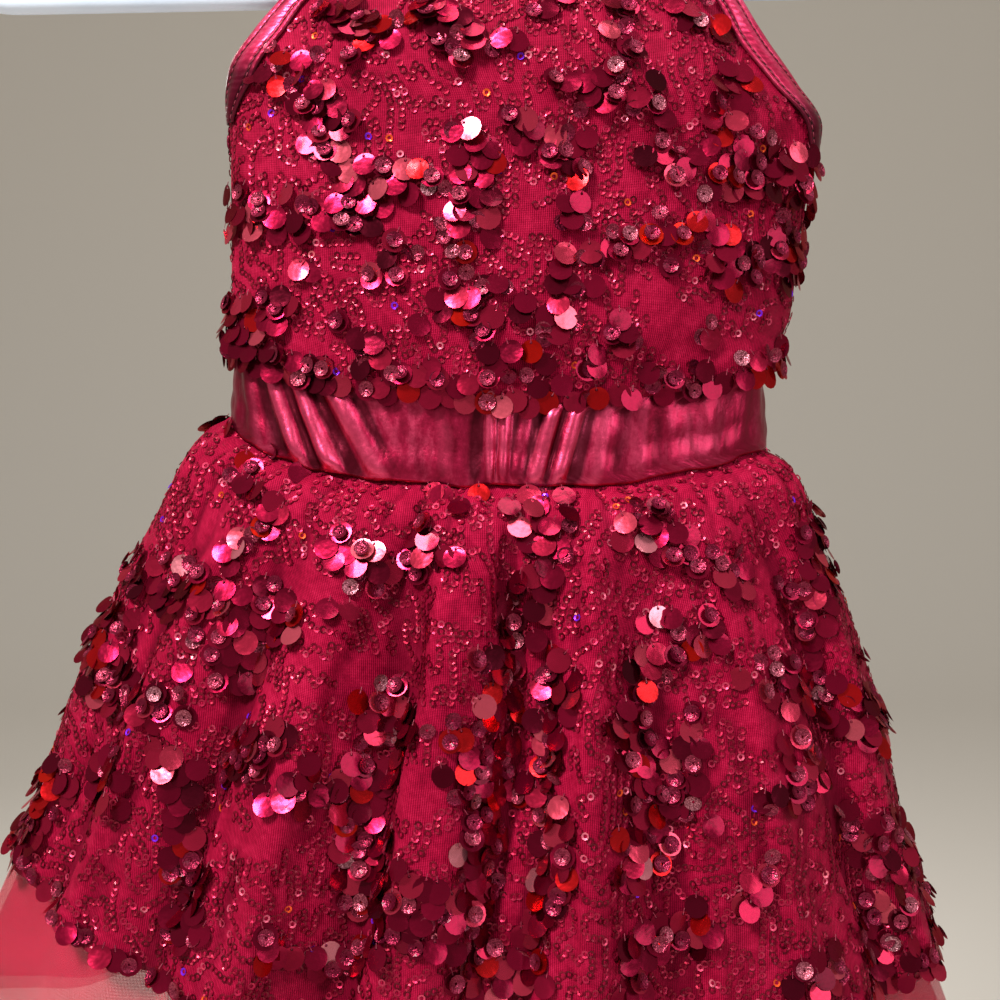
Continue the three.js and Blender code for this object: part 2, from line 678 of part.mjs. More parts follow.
// ---------------------------------------------------------------- sequined skirt
function foldOffset(angle, drop) {
  let sum = 0;
  for (const fold of folds) {
    const centre = fold.at + (fold.lean * drop) / 100;
    const away = ((((angle - centre) % 360) + 540) % 360) - 180;
    if (Math.abs(away) >= fold.width) continue;
    const bell = Math.cos((Math.PI * away) / (2 * fold.width)) ** 2;
    const opened = lerp(foldAtWaist, 1, smooth(fold.start, fold.start + foldOpening, drop));
    sum -= fold.depth * bell * opened * smooth(0, 10, drop);
  }
  return sum;
}

// A point of the skirt, or of a layer that hangs inside it by a distance. ruffle moves it on out.
function skirtPoint(half, angle, drop, inward = 0, ruffle = 0) {
  const row = rowAt(skirt, "drop", drop);
  const section = {
    centre: row.centre,
    half: row.half - inward * sideShare,
    front: row.front - inward,
    back: row.back - inward,
  };
  return ovalPoint(section, half, angle, foldOffset(angle, drop) + ruffle, levelAt(waistSeam, angle) - drop);
}

function skirtGrid(half) {
  const belt = [-heading, turnDrop].map((drop) => beltRow(half, skirtColumns, overlapStep, drop));
  const below = skirtRows.map((share) => {
    const angles = ovalAngles(rowAt(skirt, "drop", share * skirtLength.right), half, skirtColumns);
    return angles.map((angle) => skirtPoint(half, angle, share * levelAt(skirtLength, angle)));
  });
  return [...belt, ...below];
}
for (const half of halves) add(`skirt_${half.name}`, clothWall(skirtGrid(half)), materials.sequinMesh);

// ---------------------------------------------------------------- net layers
function netPoint(layer, half, angle, share, around) {
  const sideRise = (netSideRise * (1 - Math.sin(radians(angle)))) / 2;
  const drop = share * (layer.length - sideRise - waistSeam.leftDip * leftFront(angle));
  const inward = lerp(layer.atWaist, layer.inward, smooth(turnDrop, netSettled, drop));
  const opened = smooth(ruffleFrom, 1, share) ** 1.5;
  const wave = Math.cos(2 * Math.PI * netRuffles * around);
  return skirtPoint(half, angle, drop, inward, layer.ruffle * opened * wave);
}

// The net has no side seams: each row runs on from the front half into the back half.
function netGrid(layer) {
  const perHalf = netColumns / 2;
  const belt = [-heading, turnDrop + layer.atWaist * 0.8].map((drop) =>
    roundHalves.flatMap((half) => beltRow(half, perHalf, overlapStep - layer.atWaist, drop).slice(0, -1)),
  );
  const below = netRows.map((share) => {
    const section = rowAt(skirt, "drop", share * netLayers[0].length);
    return roundHalves.flatMap((half, h) => {
      const angles = ovalAngles(section, half, perHalf).slice(0, -1);
      return angles.map((angle, c) => netPoint(layer, half, angle, share, (h + c / perHalf) / 2));
    });
  });
  return [...belt, ...below];
}
for (const layer of netLayers) add(layer.name, clothWall(netGrid(layer), true), materials.net);

export default dress;
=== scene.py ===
import math, random
import bpy, bmesh
import numpy as np
from mathutils import Matrix, Vector


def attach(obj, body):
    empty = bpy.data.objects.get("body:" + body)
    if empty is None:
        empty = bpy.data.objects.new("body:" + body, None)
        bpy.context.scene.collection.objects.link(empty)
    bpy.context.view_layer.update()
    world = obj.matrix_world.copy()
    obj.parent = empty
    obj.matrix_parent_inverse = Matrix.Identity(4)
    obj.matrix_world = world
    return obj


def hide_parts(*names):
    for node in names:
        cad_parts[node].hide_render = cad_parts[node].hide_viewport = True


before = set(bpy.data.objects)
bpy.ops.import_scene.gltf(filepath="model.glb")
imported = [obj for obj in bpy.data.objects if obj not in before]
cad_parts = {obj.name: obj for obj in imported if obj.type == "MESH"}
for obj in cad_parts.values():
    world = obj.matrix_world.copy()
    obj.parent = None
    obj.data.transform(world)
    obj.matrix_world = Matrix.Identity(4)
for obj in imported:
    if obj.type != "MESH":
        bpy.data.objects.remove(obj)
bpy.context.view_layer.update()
scene = bpy.context.scene

# Shapes are worked out in millimetres and turned into metres when a mesh is made. Angles round the
# body are degrees from the centre front, 90 at the right side seam, 180 at the centre back.

# camera
cameraView = {"place": (-0.00585, -0.45748, -0.35792), "pitchDown": 6.0, "lens": 42.48, "sensor": 36}

cameraData = bpy.data.cameras.new("view")
cameraData.lens = cameraView["lens"]
cameraData.sensor_width = cameraView["sensor"]
cameraData.clip_start = 0.01
camera = bpy.data.objects.new("view", cameraData)
camera.location = cameraView["place"]
camera.rotation_euler = (math.radians(90 - cameraView["pitchDown"]), 0, 0)
scene.collection.objects.link(camera)
scene.camera = camera
scene.view_settings.view_transform = "Standard"
print("camera placed")


# a table of settings, as one dictionary for each row
def table(names, rows):
    return [dict(zip(names.split(), row)) for row in rows]


def lerp(a, b, share):
    return a + (b - a) * share


def smooth(start, end, value):
    share = np.clip((value - start) / (end - start), 0, 1)
    return share * share * (3 - 2 * share)


def unit(vectors):
    return vectors / np.maximum(np.linalg.norm(vectors, axis=-1, keepdims=True), 1e-9)


def sine(angle):
    return np.sin(np.radians(angle))


def cosine(angle):
    return np.cos(np.radians(angle))


# the shorter way round from one angle to another
def apart(angle, other):
    return (angle - other + 180) % 360 - 180


# 1 in the middle, 0 from the width on
def hump(away, width, power):
    return np.clip(1 - (away / width) ** 2, 0, 1) ** power


# a smooth line from one value to the next, with its slope at both
def bend(s, width, a, b, slopeA, slopeB):
    return (a * (2 * s**3 - 3 * s**2 + 1) + b * (3 * s**2 - 2 * s**3)
            + width * (slopeA * (s**3 - 2 * s**2 + s) + slopeB * (s**3 - s**2)))


# how far along a line each of its points is
def lengthAlong(points):
    return np.concatenate([[0], np.cumsum(np.linalg.norm(np.diff(points, axis=0), axis=1))])


def pointsAt(at, along, points):
    return np.stack([np.interp(at, along, column) for column in points.T], -1)


# every column of a table carried smoothly between its rows and never past them
def carry(table, column, value):
    x = np.array([row[column] for row in table], float)
    value = np.clip(value, x[0], x[-1])
    i = np.clip(np.searchsorted(x, value, side="right") - 1, 0, len(x) - 2)
    width = (x[1:] - x[:-1])[i]
    s = (value - x[i]) / width
    made = {}
    for name in table[0]:
        y = np.array([row[name] for row in table], float)
        slope = np.diff(y) / np.diff(x)
        same = slope[:-1] * slope[1:] > 0
        between = np.where(same, 2 * slope[:-1] * slope[1:] / np.where(same, slope[:-1] + slope[1:], 1), 0)
        tangent = np.concatenate([slope[:1], between, slope[-1:]])
        made[name] = bend(s, width, y[i], y[i + 1], tangent[i], tangent[i + 1])
    return made


# smooth random hills between -1 and 1, the same on each run
def hills(x, y, seed, wrap=96):
    lattice = np.random.default_rng(seed).uniform(-1, 1, (96, 96))
    x, y = np.asarray(x, float), np.asarray(y, float)
    i, j = np.floor(x).astype(int), np.floor(y).astype(int)
    sx, sy = smooth(0, 1, x - i), smooth(0, 1, y - j)
    at = lambda a, b: lattice[(i + a) % wrap, (j + b) % 96]
    return lerp(lerp(at(0, 0), at(1, 0), sx), lerp(at(0, 1), at(1, 1), sx), sy)


# the garment's main forms
layers = {"step": 1.5, "seamGap": 0.3, "bindingWidth": 9.0}
halfSeam = layers["seamGap"] / 2

bodiceFront = table("down leftX leftZ rightX rightZ edgeY bulge round sag", (
    (150, -41, -150, 42, -149, -10, 3, 1, 10),
    (176, -57, -176, 55, -174, -10.5, 7, 1, 8),
    (202, -71.7, -202, 68.5, -200, -10.5, 13, 1.05, 6),
    (220, -83.4, -220, 79.5, -219, -10, 19, 1, 5),
    (236, -94.5, -232, 91, -236, -8.5, 24.5, 0.9, 4),
    (250, -104.8, -246, 103, -251, -6, 28.5, 0.74, 4),
    (261, -106.7, -256, 113, -266, -3, 31, 0.6, 4),
    (272, -106.8, -265, 111.5, -280, -0.15, 33.3, 0.5, 4),
    (302, -107.3, -300, 107.4, -307, -0.15, 35.5, 0.5, 7),
    (332, -107.8, -330, 104.6, -335, -0.15, 36, 0.5, 11),
    (353, -108.9, -350, 98, -356, -0.15, 33.3, 0.5, 14.5),
))
bodiceBack = table("down depth sag", ((272, 23, 7), (302, 26, 5), (332, 26.5, 4), (353, 25.3, 4)))
bodice = {
    "neckline": 150.0, "underarm": 272.0, "hem": 353.0, "freeTo": 332.0, "seatedFrom": 346.0, "seatedEase": 1.2,
    "sideHang": 3.6,
}
# how many points a line has while a shape is measured
fineness = {"row": 721, "edge": 361, "hem": 1441, "stitches": 400}
waist = {"centre": -6.2, "half": 101.2, "front": 32.0, "back": 24.0}
waistSeam = {"left": -372.0, "right": -385.0, "frontSag": 19.0, "backSag": 4.0, "leftDip": 7.6}
band = {"top": 6.0, "heading": 5.0}
skirtSections = table("drop centre half front back", (
    (-6, -6.2, 102.7, 33.5, 25.5),
    (1, -6.2, 102.7, 33.5, 25.5),
    (6, -7, 110.6, 40, 29),
    (14, -8, 117.6, 46, 32),
    (38, -10, 128.6, 53, 35),
    (60, -11.3, 139.8, 58, 38),
    (90, -13.8, 153, 63, 41),
    (120, -15.8, 163, 67, 43),
    (150, -18, 172.5, 70, 45),
    (180, -21, 185.5, 73, 47),
    (205, -23, 194.5, 76, 49),
    (256, -24, 209, 80, 52),
))
skirtLength = {"left": 172.0, "right": 197.0, "frontSag": 16.0, "backSag": 12.0, "leftDip": 7.6}
folds = table("at width depth lean start", (
    (-62, 11, 7, -1, 8), (-36, 8, 8, -1, 4), (-25, 7, -4, 0, 20), (-14, 8, 12, -1, 2),
    (-4, 6, -4, 0, 10), (6, 8.5, 14, -2, 0), (15, 5.5, -4, -1, 6), (25, 7, 7, 0, 15),
    (38, 9, -3, 1, 30), (55, 10, 9, 1, 5), (122, 11, 6, 1, 4), (141, 8, 9, 0, 6),
    (150, 6, -3, 0, 12), (159, 8, 10, -1, 2), (178, 9, 11, 0, 5), (188, 6, -4, 0, 12),
    (197, 8, 9, 1, 3), (217, 9, 9, 0, 8), (236, 11, 6, -1, 5),
))
foldOpening = {"drop": 75.0, "atWaist": 0.22, "lean": 0.55, "leanFrom": 15, "leanTo": 80, "leanBack": -0.6}
net = {"sideShare": 0.72, "ruffles": 12, "sideRise": 10.0, "settled": 12.0, "ruffleFrom": 0.75, "hemDrop": 250.0}
netLayers = table("name node atWaist inward length ruffle seed", (
    ("netUpper", "net_upper_layer", 3.0, 6.5, 250.0, 5.5, 41),
    ("netLower", "net_lower_layer", 4.5, 12.0, 244.0, 5.2, 47),
))


# how much longer than square a row crosses the slanting armhole edge
armholeSlants = table("down slant", ((225, 1.22), (241, 1.6), (252, 1.62), (264, 1.2), (272, 1)))


def slant(down):
    return carry(armholeSlants, "down", down)["slant"]


# between the left side seam and the centre front the waist seam hangs a little lower
def leftFront(angle):
    return np.sin(np.pi * np.clip((angle + 90) / 88, 0, 1) ** 0.7)


# a level round the body, given at its two sides, that dips at the front and the back
def levelAt(level, angle):
    dip = np.where(cosine(angle) > 0, level["frontSag"], level["backSag"])
    middle = lerp(level["left"], level["right"], (1 + sine(angle)) / 2)
    return middle + math.copysign(1, level["left"]) * dip * cosine(angle) ** 2 - level["leftDip"] * leftFront(angle)


# a point of an oval section, moved outwards
def ovalPoint(section, angle, outward, z, seam=0):
    depth = np.where(cosine(angle) > 0, section["front"], section["back"])
    nx, ny = sine(angle) / section["half"], -cosine(angle) / depth
    size = np.hypot(nx, ny)
    x = section["centre"] + section["half"] * sine(angle) + outward * nx / size
    y = seam - depth * cosine(angle) + outward * ny / size
    return np.stack(np.broadcast_arrays(x, y, z), -1)


# a bodice row from side to side: its sideways places and its heights, sagging between the sides
def rowAcross(sides, angle, sag, bent):
    share = (1 + sine(angle)) / 2
    x = lerp(sides["leftX"], sides["rightX"], share)
    return x, lerp(sides["leftZ"], sides["rightZ"], share) - sag * bent**2


# the bodice hangs free down to the waistband and lies on it below
def seated(down, angle, x, y, z, seam):
    loose = bodice["seatedEase"] * (bodice["hem"] - down) / (bodice["hem"] - bodice["seatedFrom"])
    hung = bodice["sideHang"] * smooth(0.5, 1, sine(angle))
    on = ovalPoint(waist, angle, layers["step"] + np.clip(loose, 0, bodice["seatedEase"]) + hung, z, seam)
    free = np.stack(np.broadcast_arrays(x, y, z), -1)
    return lerp(free, on, smooth(bodice["freeTo"], bodice["seatedFrom"], down)[..., None])


def frontPoint(down, angle):
    row = carry(bodiceFront, "down", down)
    bent = np.maximum(cosine(angle), 0)
    x, z = rowAcross(row, angle, row["sag"], bent)
    y = row["edgeY"] - row["bulge"] * np.where(bent > 0, bent, 1e-9) ** (2 * row["round"])
    return seated(down, angle, x, y, z, -halfSeam)


def backPoint(down, angle):
    row = carry(bodiceBack, "down", down)
    bent = np.minimum(cosine(angle), 0)
    x, z = rowAcross(carry(bodiceFront, "down", down), angle, row["sag"], bent)
    return seated(down, angle, x, halfSeam - row["depth"] * bent, z, halfSeam)


def foldOffset(angle, drop):
    total = 0
    for fold in folds:
        away = apart(angle - fold["at"], fold["lean"] * drop / 100)
        bell = np.where(abs(away) < fold["width"], cosine(90 * away / fold["width"]) ** 2, 0)
        opened = smooth(fold["start"], fold["start"] + foldOpening["drop"], drop)
        total = total - fold["depth"] * bell * lerp(foldOpening["atWaist"], 1, opened) * smooth(0, 10, drop)
    return total


def skirtPoint(angle, drop, inward=0, extra=0, seam=0):
    row = carry(skirtSections, "drop", drop)
    section = {
        "centre": row["centre"], "half": row["half"] - inward * net["sideShare"],
        "front": row["front"] - inward, "back": row["back"] - inward,
    }
    offset = foldOffset(angle, drop)
    # a valley's floor swings a little to one side, which makes its other wall steep
    swing = -foldOpening["lean"] * np.minimum(offset, 0) * smooth(foldOpening["leanFrom"], foldOpening["leanTo"], drop)
    swing = swing * np.where(cosine(angle) > 0, 1, foldOpening["leanBack"])
    depth = np.where(cosine(angle) > 0, section["front"], section["back"])
    along = unit(np.stack(np.broadcast_arrays(section["half"] * cosine(angle), depth * sine(angle), 0 * angle), -1))
    level = levelAt(waistSeam, angle) - drop
    return ovalPoint(section, angle, offset + extra, level, seam) + along * swing[..., None]


# smaller creases: soft troughs and ridges, each with its own length, depth and lean
def creaseSet(seed, count, fromAngle, toAngle, reach, depths, widths, lengths):
    pick = random.Random(seed)
    made = []
    for k in range(count):
        made.append({
            "at": lerp(fromAngle, toAngle, (k + pick.uniform(0.1, 0.9)) / count),
            "width": pick.uniform(*widths), "depth": pick.uniform(*depths) * pick.choice((1, 1, -0.7)),
            "middle": pick.uniform(*reach), "length": pick.uniform(*lengths), "lean": pick.uniform(-7, 7),
        })
    return made


def creaseOffset(creases, angle, drop):
    total = 0
    for crease in creases:
        along = (drop - crease["middle"]) / crease["length"]
        away = apart(angle - crease["at"], crease["lean"] * along)
        total = total - crease["depth"] * hump(away, crease["width"], 2) * hump(along, 1, 2)
    return total


# cloth: its points lie on a net of rows down it and columns across it, evenly spaced along each row
def layCloth(surface, fromAngle, toAngle, rows, columns, down, joined=False):
    angles = np.linspace(fromAngle, toAngle, fineness["row"])
    levels = np.linspace(down[0], down[1], rows + 1)[:, None]
    dense = surface(levels + 0 * angles, angles + 0 * levels)
    along = np.concatenate([
        np.zeros((rows + 1, 1)), np.cumsum(np.linalg.norm(np.diff(dense, axis=1), axis=-1), axis=1)], axis=1)
    shares = np.linspace(0, 1, columns + 1)
    at = np.array([np.interp(shares * row[-1], row, angles) for row in along])
    points = surface(levels + 0 * at, at)
    across = np.gradient(points, axis=1)
    if joined:
        across[:, 0] = across[:, -1] = (points[:, 1] - points[:, -2]) / 2
    downward = np.gradient(points, axis=0)
    height = np.linalg.norm(np.diff(points, axis=0), axis=-1).sum(axis=0).mean()
    return {"points": points, "normals": unit(np.cross(downward, across)), "width": along[:, -1], "height": height}


def readGrid(grid, u, v):
    rows, columns = grid.shape[0] - 1, grid.shape[1] - 1
    x, y = np.clip(u, 0, 1) * columns, np.clip(v, 0, 1) * rows
    i, j = np.minimum(x.astype(int), columns - 1), np.minimum(y.astype(int), rows - 1)
    s, t = (x - i)[..., None], (y - j)[..., None]
    return lerp(lerp(grid[j, i], grid[j, i + 1], s), lerp(grid[j + 1, i], grid[j + 1, i + 1], s), t)


def widthAt(cloth, y):
    rows = np.arange(len(cloth["width"]))
    return np.interp(y / cloth["height"] * rows[-1], rows, cloth["width"])


# the place and the outward direction at flat distances from the middle of a cloth's top edge
def onCloth(cloth, x, y):
    u, v = 0.5 + x / widthAt(cloth, y), y / cloth["height"]
    return readGrid(cloth["points"], u, v), unit(readGrid(cloth["normals"], u, v))


def meshOf(bm, name):
    mesh = bpy.data.meshes.new(name)
    bm.to_mesh(mesh)
    bm.free()
    return mesh


def finishPiece(name, mesh, material, shade=True):
    for face in mesh.polygons:
        face.use_smooth = shade
    mesh.materials.append(material)
    piece = bpy.data.objects.new(name, mesh)
    scene.collection.objects.link(piece)
    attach(piece, "root")
    return piece


# how far each point lies below the line between its neighbours on both sides, in millimetres; the finishes use it for
# painted shade in hollows and painted highlight on ridges
def hollows(cloth, reach=4):
    spread = np.pad(cloth["points"], ((0, 0), (reach, reach), (0, 0)), mode="edge")
    between = (spread[:, :-2 * reach] + spread[:, 2 * reach:]) / 2
    return ((between - cloth["points"]) * cloth["normals"]).sum(-1)


# a grid of squares whose corners are carried onto the cloth, with a flat map in decimetres
def clothPiece(name, cloth, thickness, material, joined=False, offset=0.0):
    rows, columns = cloth["points"].shape[0] - 1, cloth["points"].shape[1] - 1
    bm = bmesh.new()
    bmesh.ops.create_grid(bm, x_segments=columns, y_segments=rows, size=0.5)
    flat = bm.loops.layers.uv.new("flat")
    hollow = bm.verts.layers.float.new("hollow")
    place = {}
    for corner in bm.verts:
        c, r = round((corner.co.x + 0.5) * columns), round((0.5 - corner.co.y) * rows)
        place[corner] = (c, r)
    for face in bm.faces:
        for loop in face.loops:
            c, r = place[loop.vert]
            loop[flat].uv = ((c / columns - 0.5) * cloth["width"][r] / 100, -r / rows * cloth["height"] / 100)
    depths = 0 * cloth["points"][..., 0] if cloth["normals"] is None else hollows(cloth)
    for corner, (c, r) in place.items():
        corner.co = Vector(cloth["points"][r, c] / 1000)
        corner[hollow] = depths[r, c]
    if joined:
        bmesh.ops.remove_doubles(bm, verts=bm.verts, dist=1e-5)
    bmesh.ops.recalc_face_normals(bm, faces=bm.faces)
    if sum(f.normal.y * f.calc_center_median().y for f in bm.faces) < 0:
        bmesh.ops.reverse_faces(bm, faces=bm.faces)
    piece = finishPiece(name, meshOf(bm, name), material)
    wall = piece.modifiers.new("cloth thickness", "SOLIDIFY")
    wall.thickness, wall.offset = thickness / 1000, offset
    return piece


# finishes
class Value:
    def __init__(self, finish, socket):
        self.finish, self.socket = finish, socket

    def sum(self, operation, *values):
        return self.finish.add("ShaderNodeMath", {"operation": operation}, dict(enumerate(values)))

    def __add__(self, other): return self.sum("ADD", self, other)
    def __radd__(self, other): return self.sum("ADD", other, self)
    def __sub__(self, other): return self.sum("SUBTRACT", self, other)
    def __rsub__(self, other): return self.sum("SUBTRACT", other, self)
    def __mul__(self, other): return self.sum("MULTIPLY", self, other)
    def __rmul__(self, other): return self.sum("MULTIPLY", other, self)
    def __truediv__(self, other): return self.sum("DIVIDE", self, other)


class Finish:
    def __init__(self, name):
        self.material = bpy.data.materials.new(name)
        self.material.use_nodes = True
        self.tree = self.material.node_tree
        self.tree.nodes.clear()

    # any node: its type, its settings, the values or links of its sockets, and the output wanted
    def add(self, kind, settings=None, sockets=None, output=0):
        node = self.tree.nodes.new(kind)
        for name, value in (settings or {}).items():
            if name == "stops":
                ramp = node.color_ramp
                while len(ramp.elements) < len(value):
                    ramp.elements.new(0.5)
                for stop, (position, colour) in zip(ramp.elements, value):
                    stop.position, stop.color = position, (*colour, 1)
            else:
                setattr(node, name, value)
        for name, value in (sockets or {}).items():
            if isinstance(value, Value):
                self.tree.links.new(value.socket, node.inputs[name])
            else:
                node.inputs[name].default_value = value
        return Value(self, node.outputs[output]) if len(node.outputs) else node

    def ramp(self, value, stops):
        return self.add("ShaderNodeValToRGB", {"stops": stops}, {"Fac": value})

    def mix(self, factor, first, second):
        return self.add("ShaderNodeMix", {"data_type": "RGBA"}, {0: factor, 6: first, 7: second}, 2)

    def flatMap(self):
        return self.add("ShaderNodeUVMap", {"uv_map": "flat"})

    def objectPlace(self):
        return self.add("ShaderNodeTexCoord", output="Object")

    def attribute(self, name):
        return self.add("ShaderNodeAttribute", {"attribute_name": name}, output="Fac")

    def noise(self, vector, scale, detail=3.0, roughness=0.5):
        sockets = {"Vector": vector, "Scale": scale, "Detail": detail, "Roughness": roughness}
        return self.add("ShaderNodeTexNoise", {}, sockets)

    def wave(self, vector, scale, direction, distortion):
        sockets = {"Vector": vector, "Scale": scale, "Distortion": distortion, "Detail": 0.0}
        return self.add("ShaderNodeTexWave", {"bands_direction": direction}, sockets, "Fac")

    def stretched(self, vector, scale):
        return self.add("ShaderNodeMapping", {}, {"Vector": vector, "Scale": scale})

    def along(self, vector, axis):
        return self.add("ShaderNodeSeparateXYZ", {}, {"Vector": vector}, axis)

    def share(self, value, start, end):
        return self.add("ShaderNodeMapRange", {}, {"Value": value, "From Min": start, "From Max": end})

    def bump(self, height, strength, distance):
        return self.add("ShaderNodeBump", {}, {"Height": height, "Strength": strength, "Distance": distance})

    def close(self, sockets):
        shader = self.add("ShaderNodeBsdfPrincipled", {}, sockets)
        self.add("ShaderNodeOutputMaterial", {}, {"Surface": shader})
        return self.material


def makeMeshCloth():
    finish = Finish("crimson mesh cloth")
    flat = finish.flatMap()
    ribs = finish.wave(flat, 42.0, "X", 0.3)
    rows = finish.wave(flat, 56.0, "Y", 0.3)
    knit = ribs * 0.7 + rows * 0.3
    patches = finish.noise(flat, 3.0, 4.0, 0.6)
    blotches = finish.noise(flat, 17.0, 3.0, 0.65)
    grain = finish.noise(flat, 60.0, 2.0)
    tone = patches * 0.35 + blotches * 0.4 + knit * 0.3 + grain * 0.2 - 0.1
    colour = finish.ramp(tone, [
        (0.26, (0.08, 0.0005, 0.008)), (0.44, (0.19, 0.0015, 0.017)), (0.6, (0.33, 0.004, 0.033)),
        (0.82, (0.56, 0.02, 0.08))])
    # painted shade: the cloth darker where it lies in a hollow between folds
    colour = finish.mix(finish.share(finish.attribute("hollow"), 0.15, 1.5) * 0.6, colour, (0.05, 0.0003, 0.005, 1))
    return finish.close({
        "Base Color": colour, "Roughness": 0.52 + grain * 0.2, "Normal": finish.bump(knit + grain * 0.4, 0.5, 0.0004),
        "Sheen Weight": 0.12, "Sheen Roughness": 0.35, "Sheen Tint": (1.0, 0.05, 0.16, 1),
        "Specular IOR Level": 0.25, "Specular Tint": (1.0, 0.06, 0.2, 1)})


def makeFoil(name, dark, middle, bright, roughness):
    finish = Finish(name)
    flat = finish.flatMap()
    worn = finish.noise(finish.stretched(flat, (5.0, 1.8, 1.0)), 1.5, 5.0, 0.65)
    crackle = finish.noise(flat, 52.0, 4.0, 0.7)
    wrinkles = finish.noise(finish.stretched(flat, (8.0, 3.0, 1.0)), 1.5, 2.0, 0.55)
    colour = finish.ramp(worn * 0.82 + crackle * 0.18, [(0.34, dark), (0.5, middle), (0.66, bright)])
    hollow = finish.attribute("hollow")
    # painted shade towards the band's two sides, which also keeps the painted ridge highlight off them
    across = finish.along(flat, "X")
    sides = finish.share(across, 0.52, 0.78) * 0.8 + finish.share(across, -0.96, -1.06) * 0.9
    # painted highlight: the crease ridges lightened toward the bright tone, broken up by the crackle
    ridges = finish.share(hollow, -0.3, -1.1) * (0.35 + crackle * 0.7) * (1.0 - sides)
    colour = finish.mix(ridges, colour, (*bright, 1))
    colour = finish.mix(sides * 0.7, colour, (*dark, 1))
    # painted shade: darker in the hollows between the creases
    colour = finish.mix(finish.share(hollow, 0.12, 0.9) * 0.8, colour, (0.05, 0.0003, 0.005, 1))
    return finish.close({
        "Base Color": colour, "Metallic": 0.9, "Roughness": roughness + crackle * 0.16,
        "Normal": finish.bump(crackle * 0.28 + wrinkles * 2.2, 0.5, 0.0008),
        "Coat Weight": 0.1, "Coat Roughness": 0.25})


# satin strip, with painted shade in its stitched grooves and towards its edges, and where it turns in under the arms
def makeStrip():
    finish = Finish("binding strip")
    flat, place = finish.flatMap(), finish.objectPlace()
    across = finish.along(flat, "X") / 0.255 + 0.5
    worn = finish.noise(finish.stretched(flat, (6.0, 1.2, 1.0)), 3.0, 4.0, 0.6)
    grain = finish.noise(flat, 60.0, 3.0, 0.6)
    puckers = finish.wave(flat, 11.6, "Y", 3.0)
    # a mask across the strip: painted shade in the stitched grooves and towards its edges, lighter between; it also
    # shapes the groove bump
    grooves = finish.ramp(across, [(position, (value,) * 3) for position, value in (
        (0.0, 0.25), (0.05, 1.0), (0.1, 0.8), (0.125, 0.0), (0.145, 0.0), (0.18, 0.7), (0.27, 1.0), (0.35, 0.75),
        (0.388, 0.0), (0.412, 0.0), (0.44, 0.8), (0.52, 0.9), (0.6, 0.4))])
    body = finish.ramp(worn * 0.75 + grain * 0.25, [
        (0.36, (0.48, 0.009, 0.06)), (0.5, (0.76, 0.032, 0.12)), (0.64, (1.0, 0.11, 0.24))])
    # the painted groove shade, uneven with the puckers
    grooveShade = finish.mix(puckers * 0.45, (0.06, 0.0004, 0.008, 1), (0.34, 0.008, 0.05, 1))
    # painted shade where the strip turns in under the arms: below a sloping level, fading towards the back
    x, y, z = (finish.along(place, axis) for axis in "XYZ")
    underarmShade = finish.add("ShaderNodeClamp", {}, {0: (z + x * 0.063 + 0.2455) * -110.0})
    underarmShade = underarmShade * finish.add("ShaderNodeClamp", {}, {0: 1.0 - y * 60.0})
    shaded = finish.mix(grooves, (0.03, 0.0002, 0.004, 1), (0.15, 0.002, 0.022, 1))
    colour = finish.mix(underarmShade, finish.mix(grooves, grooveShade, body), shaded)
    return finish.close({
        "Base Color": colour, "Metallic": 0.75, "Roughness": 0.24 + grain * 0.14,
        "Normal": finish.bump(grain * 0.3 + worn * 1.0 + grooves * (0.9 + puckers * 0.35), 0.5, 0.0006)})


def makeSequin(name, stops, roughness, metallic, crackled):
    finish = Finish(name)
    tone, place = finish.attribute("tone"), finish.objectPlace()
    scuffs = finish.noise(place, 900.0, 3.0, 0.6)
    swells = finish.noise(place, 210.0, 2.0, 0.5)
    colour = finish.mix(scuffs * 0.3, finish.ramp(tone, stops), (0.04, 0.0, 0.006, 1))
    height = swells * (1.6 if crackled else 0.8) + scuffs * (0.4 if crackled else 0.03)
    if crackled:
        chips = finish.noise(place, 1300.0, 1.0, 0.5)
        lines = finish.ramp(chips, [(0.44, (0, 0, 0)), (0.5, (1, 1, 1)), (0.56, (0, 0, 0))])
        colour = finish.mix(lines, finish.mix(0.8, colour, (0.10, 0.002, 0.015, 1)), colour)
        height = height + chips * 1.5
    return finish.close({
        "Base Color": colour, "Metallic": metallic, "Roughness": roughness + scuffs * 0.14,
        "Normal": finish.bump(height, 0.6, 0.0004), "Specular Tint": (1.0, 0.32, 0.36, 1),
        "Coat Weight": 0.09, "Coat Roughness": 0.1})


def makeNet():
    finish = Finish("soft sheer net")
    flat = finish.flatMap()
    threads = finish.wave(flat, 26.0, "X", 0.0) + finish.wave(flat, 26.0, "Y", 0.0)
    cloud = finish.noise(flat, 2.2, 4.0, 0.6)
    colour = finish.ramp(cloud, [(0.3, (0.42, 0.003, 0.032)), (0.7, (0.70, 0.014, 0.075))])
    alpha = 0.19 + threads * 0.08 + cloud * 0.1
    return finish.close({
        "Base Color": colour, "Alpha": alpha, "Roughness": 0.7 + cloud * 0.1,
        "Normal": finish.bump(threads, 0.3, 0.0002),
        "Sheen Weight": 0.2, "Sheen Roughness": 0.5, "Sheen Tint": (1.0, 0.2, 0.3, 1), "Specular IOR Level": 0.2})


def makePlastic():
    finish = Finish("white moulded plastic")
    place = finish.objectPlace()
    cloud = finish.noise(place, 9.0, 4.0, 0.55)
    pores = finish.noise(place, 420.0, 3.0, 0.6)
    # white plastic, tinted pale blue as a painted reflection of bluish light
    colour = finish.ramp(cloud, [(0.3, (0.66, 0.78, 0.95)), (0.7, (0.76, 0.86, 0.99))])
    return finish.close({
        "Base Color": colour, "Roughness": 0.3 + pores * 0.18, "Normal": finish.bump(pores, 0.12, 0.0004),
        "Coat Weight": 0.15, "Coat Roughness": 0.2})


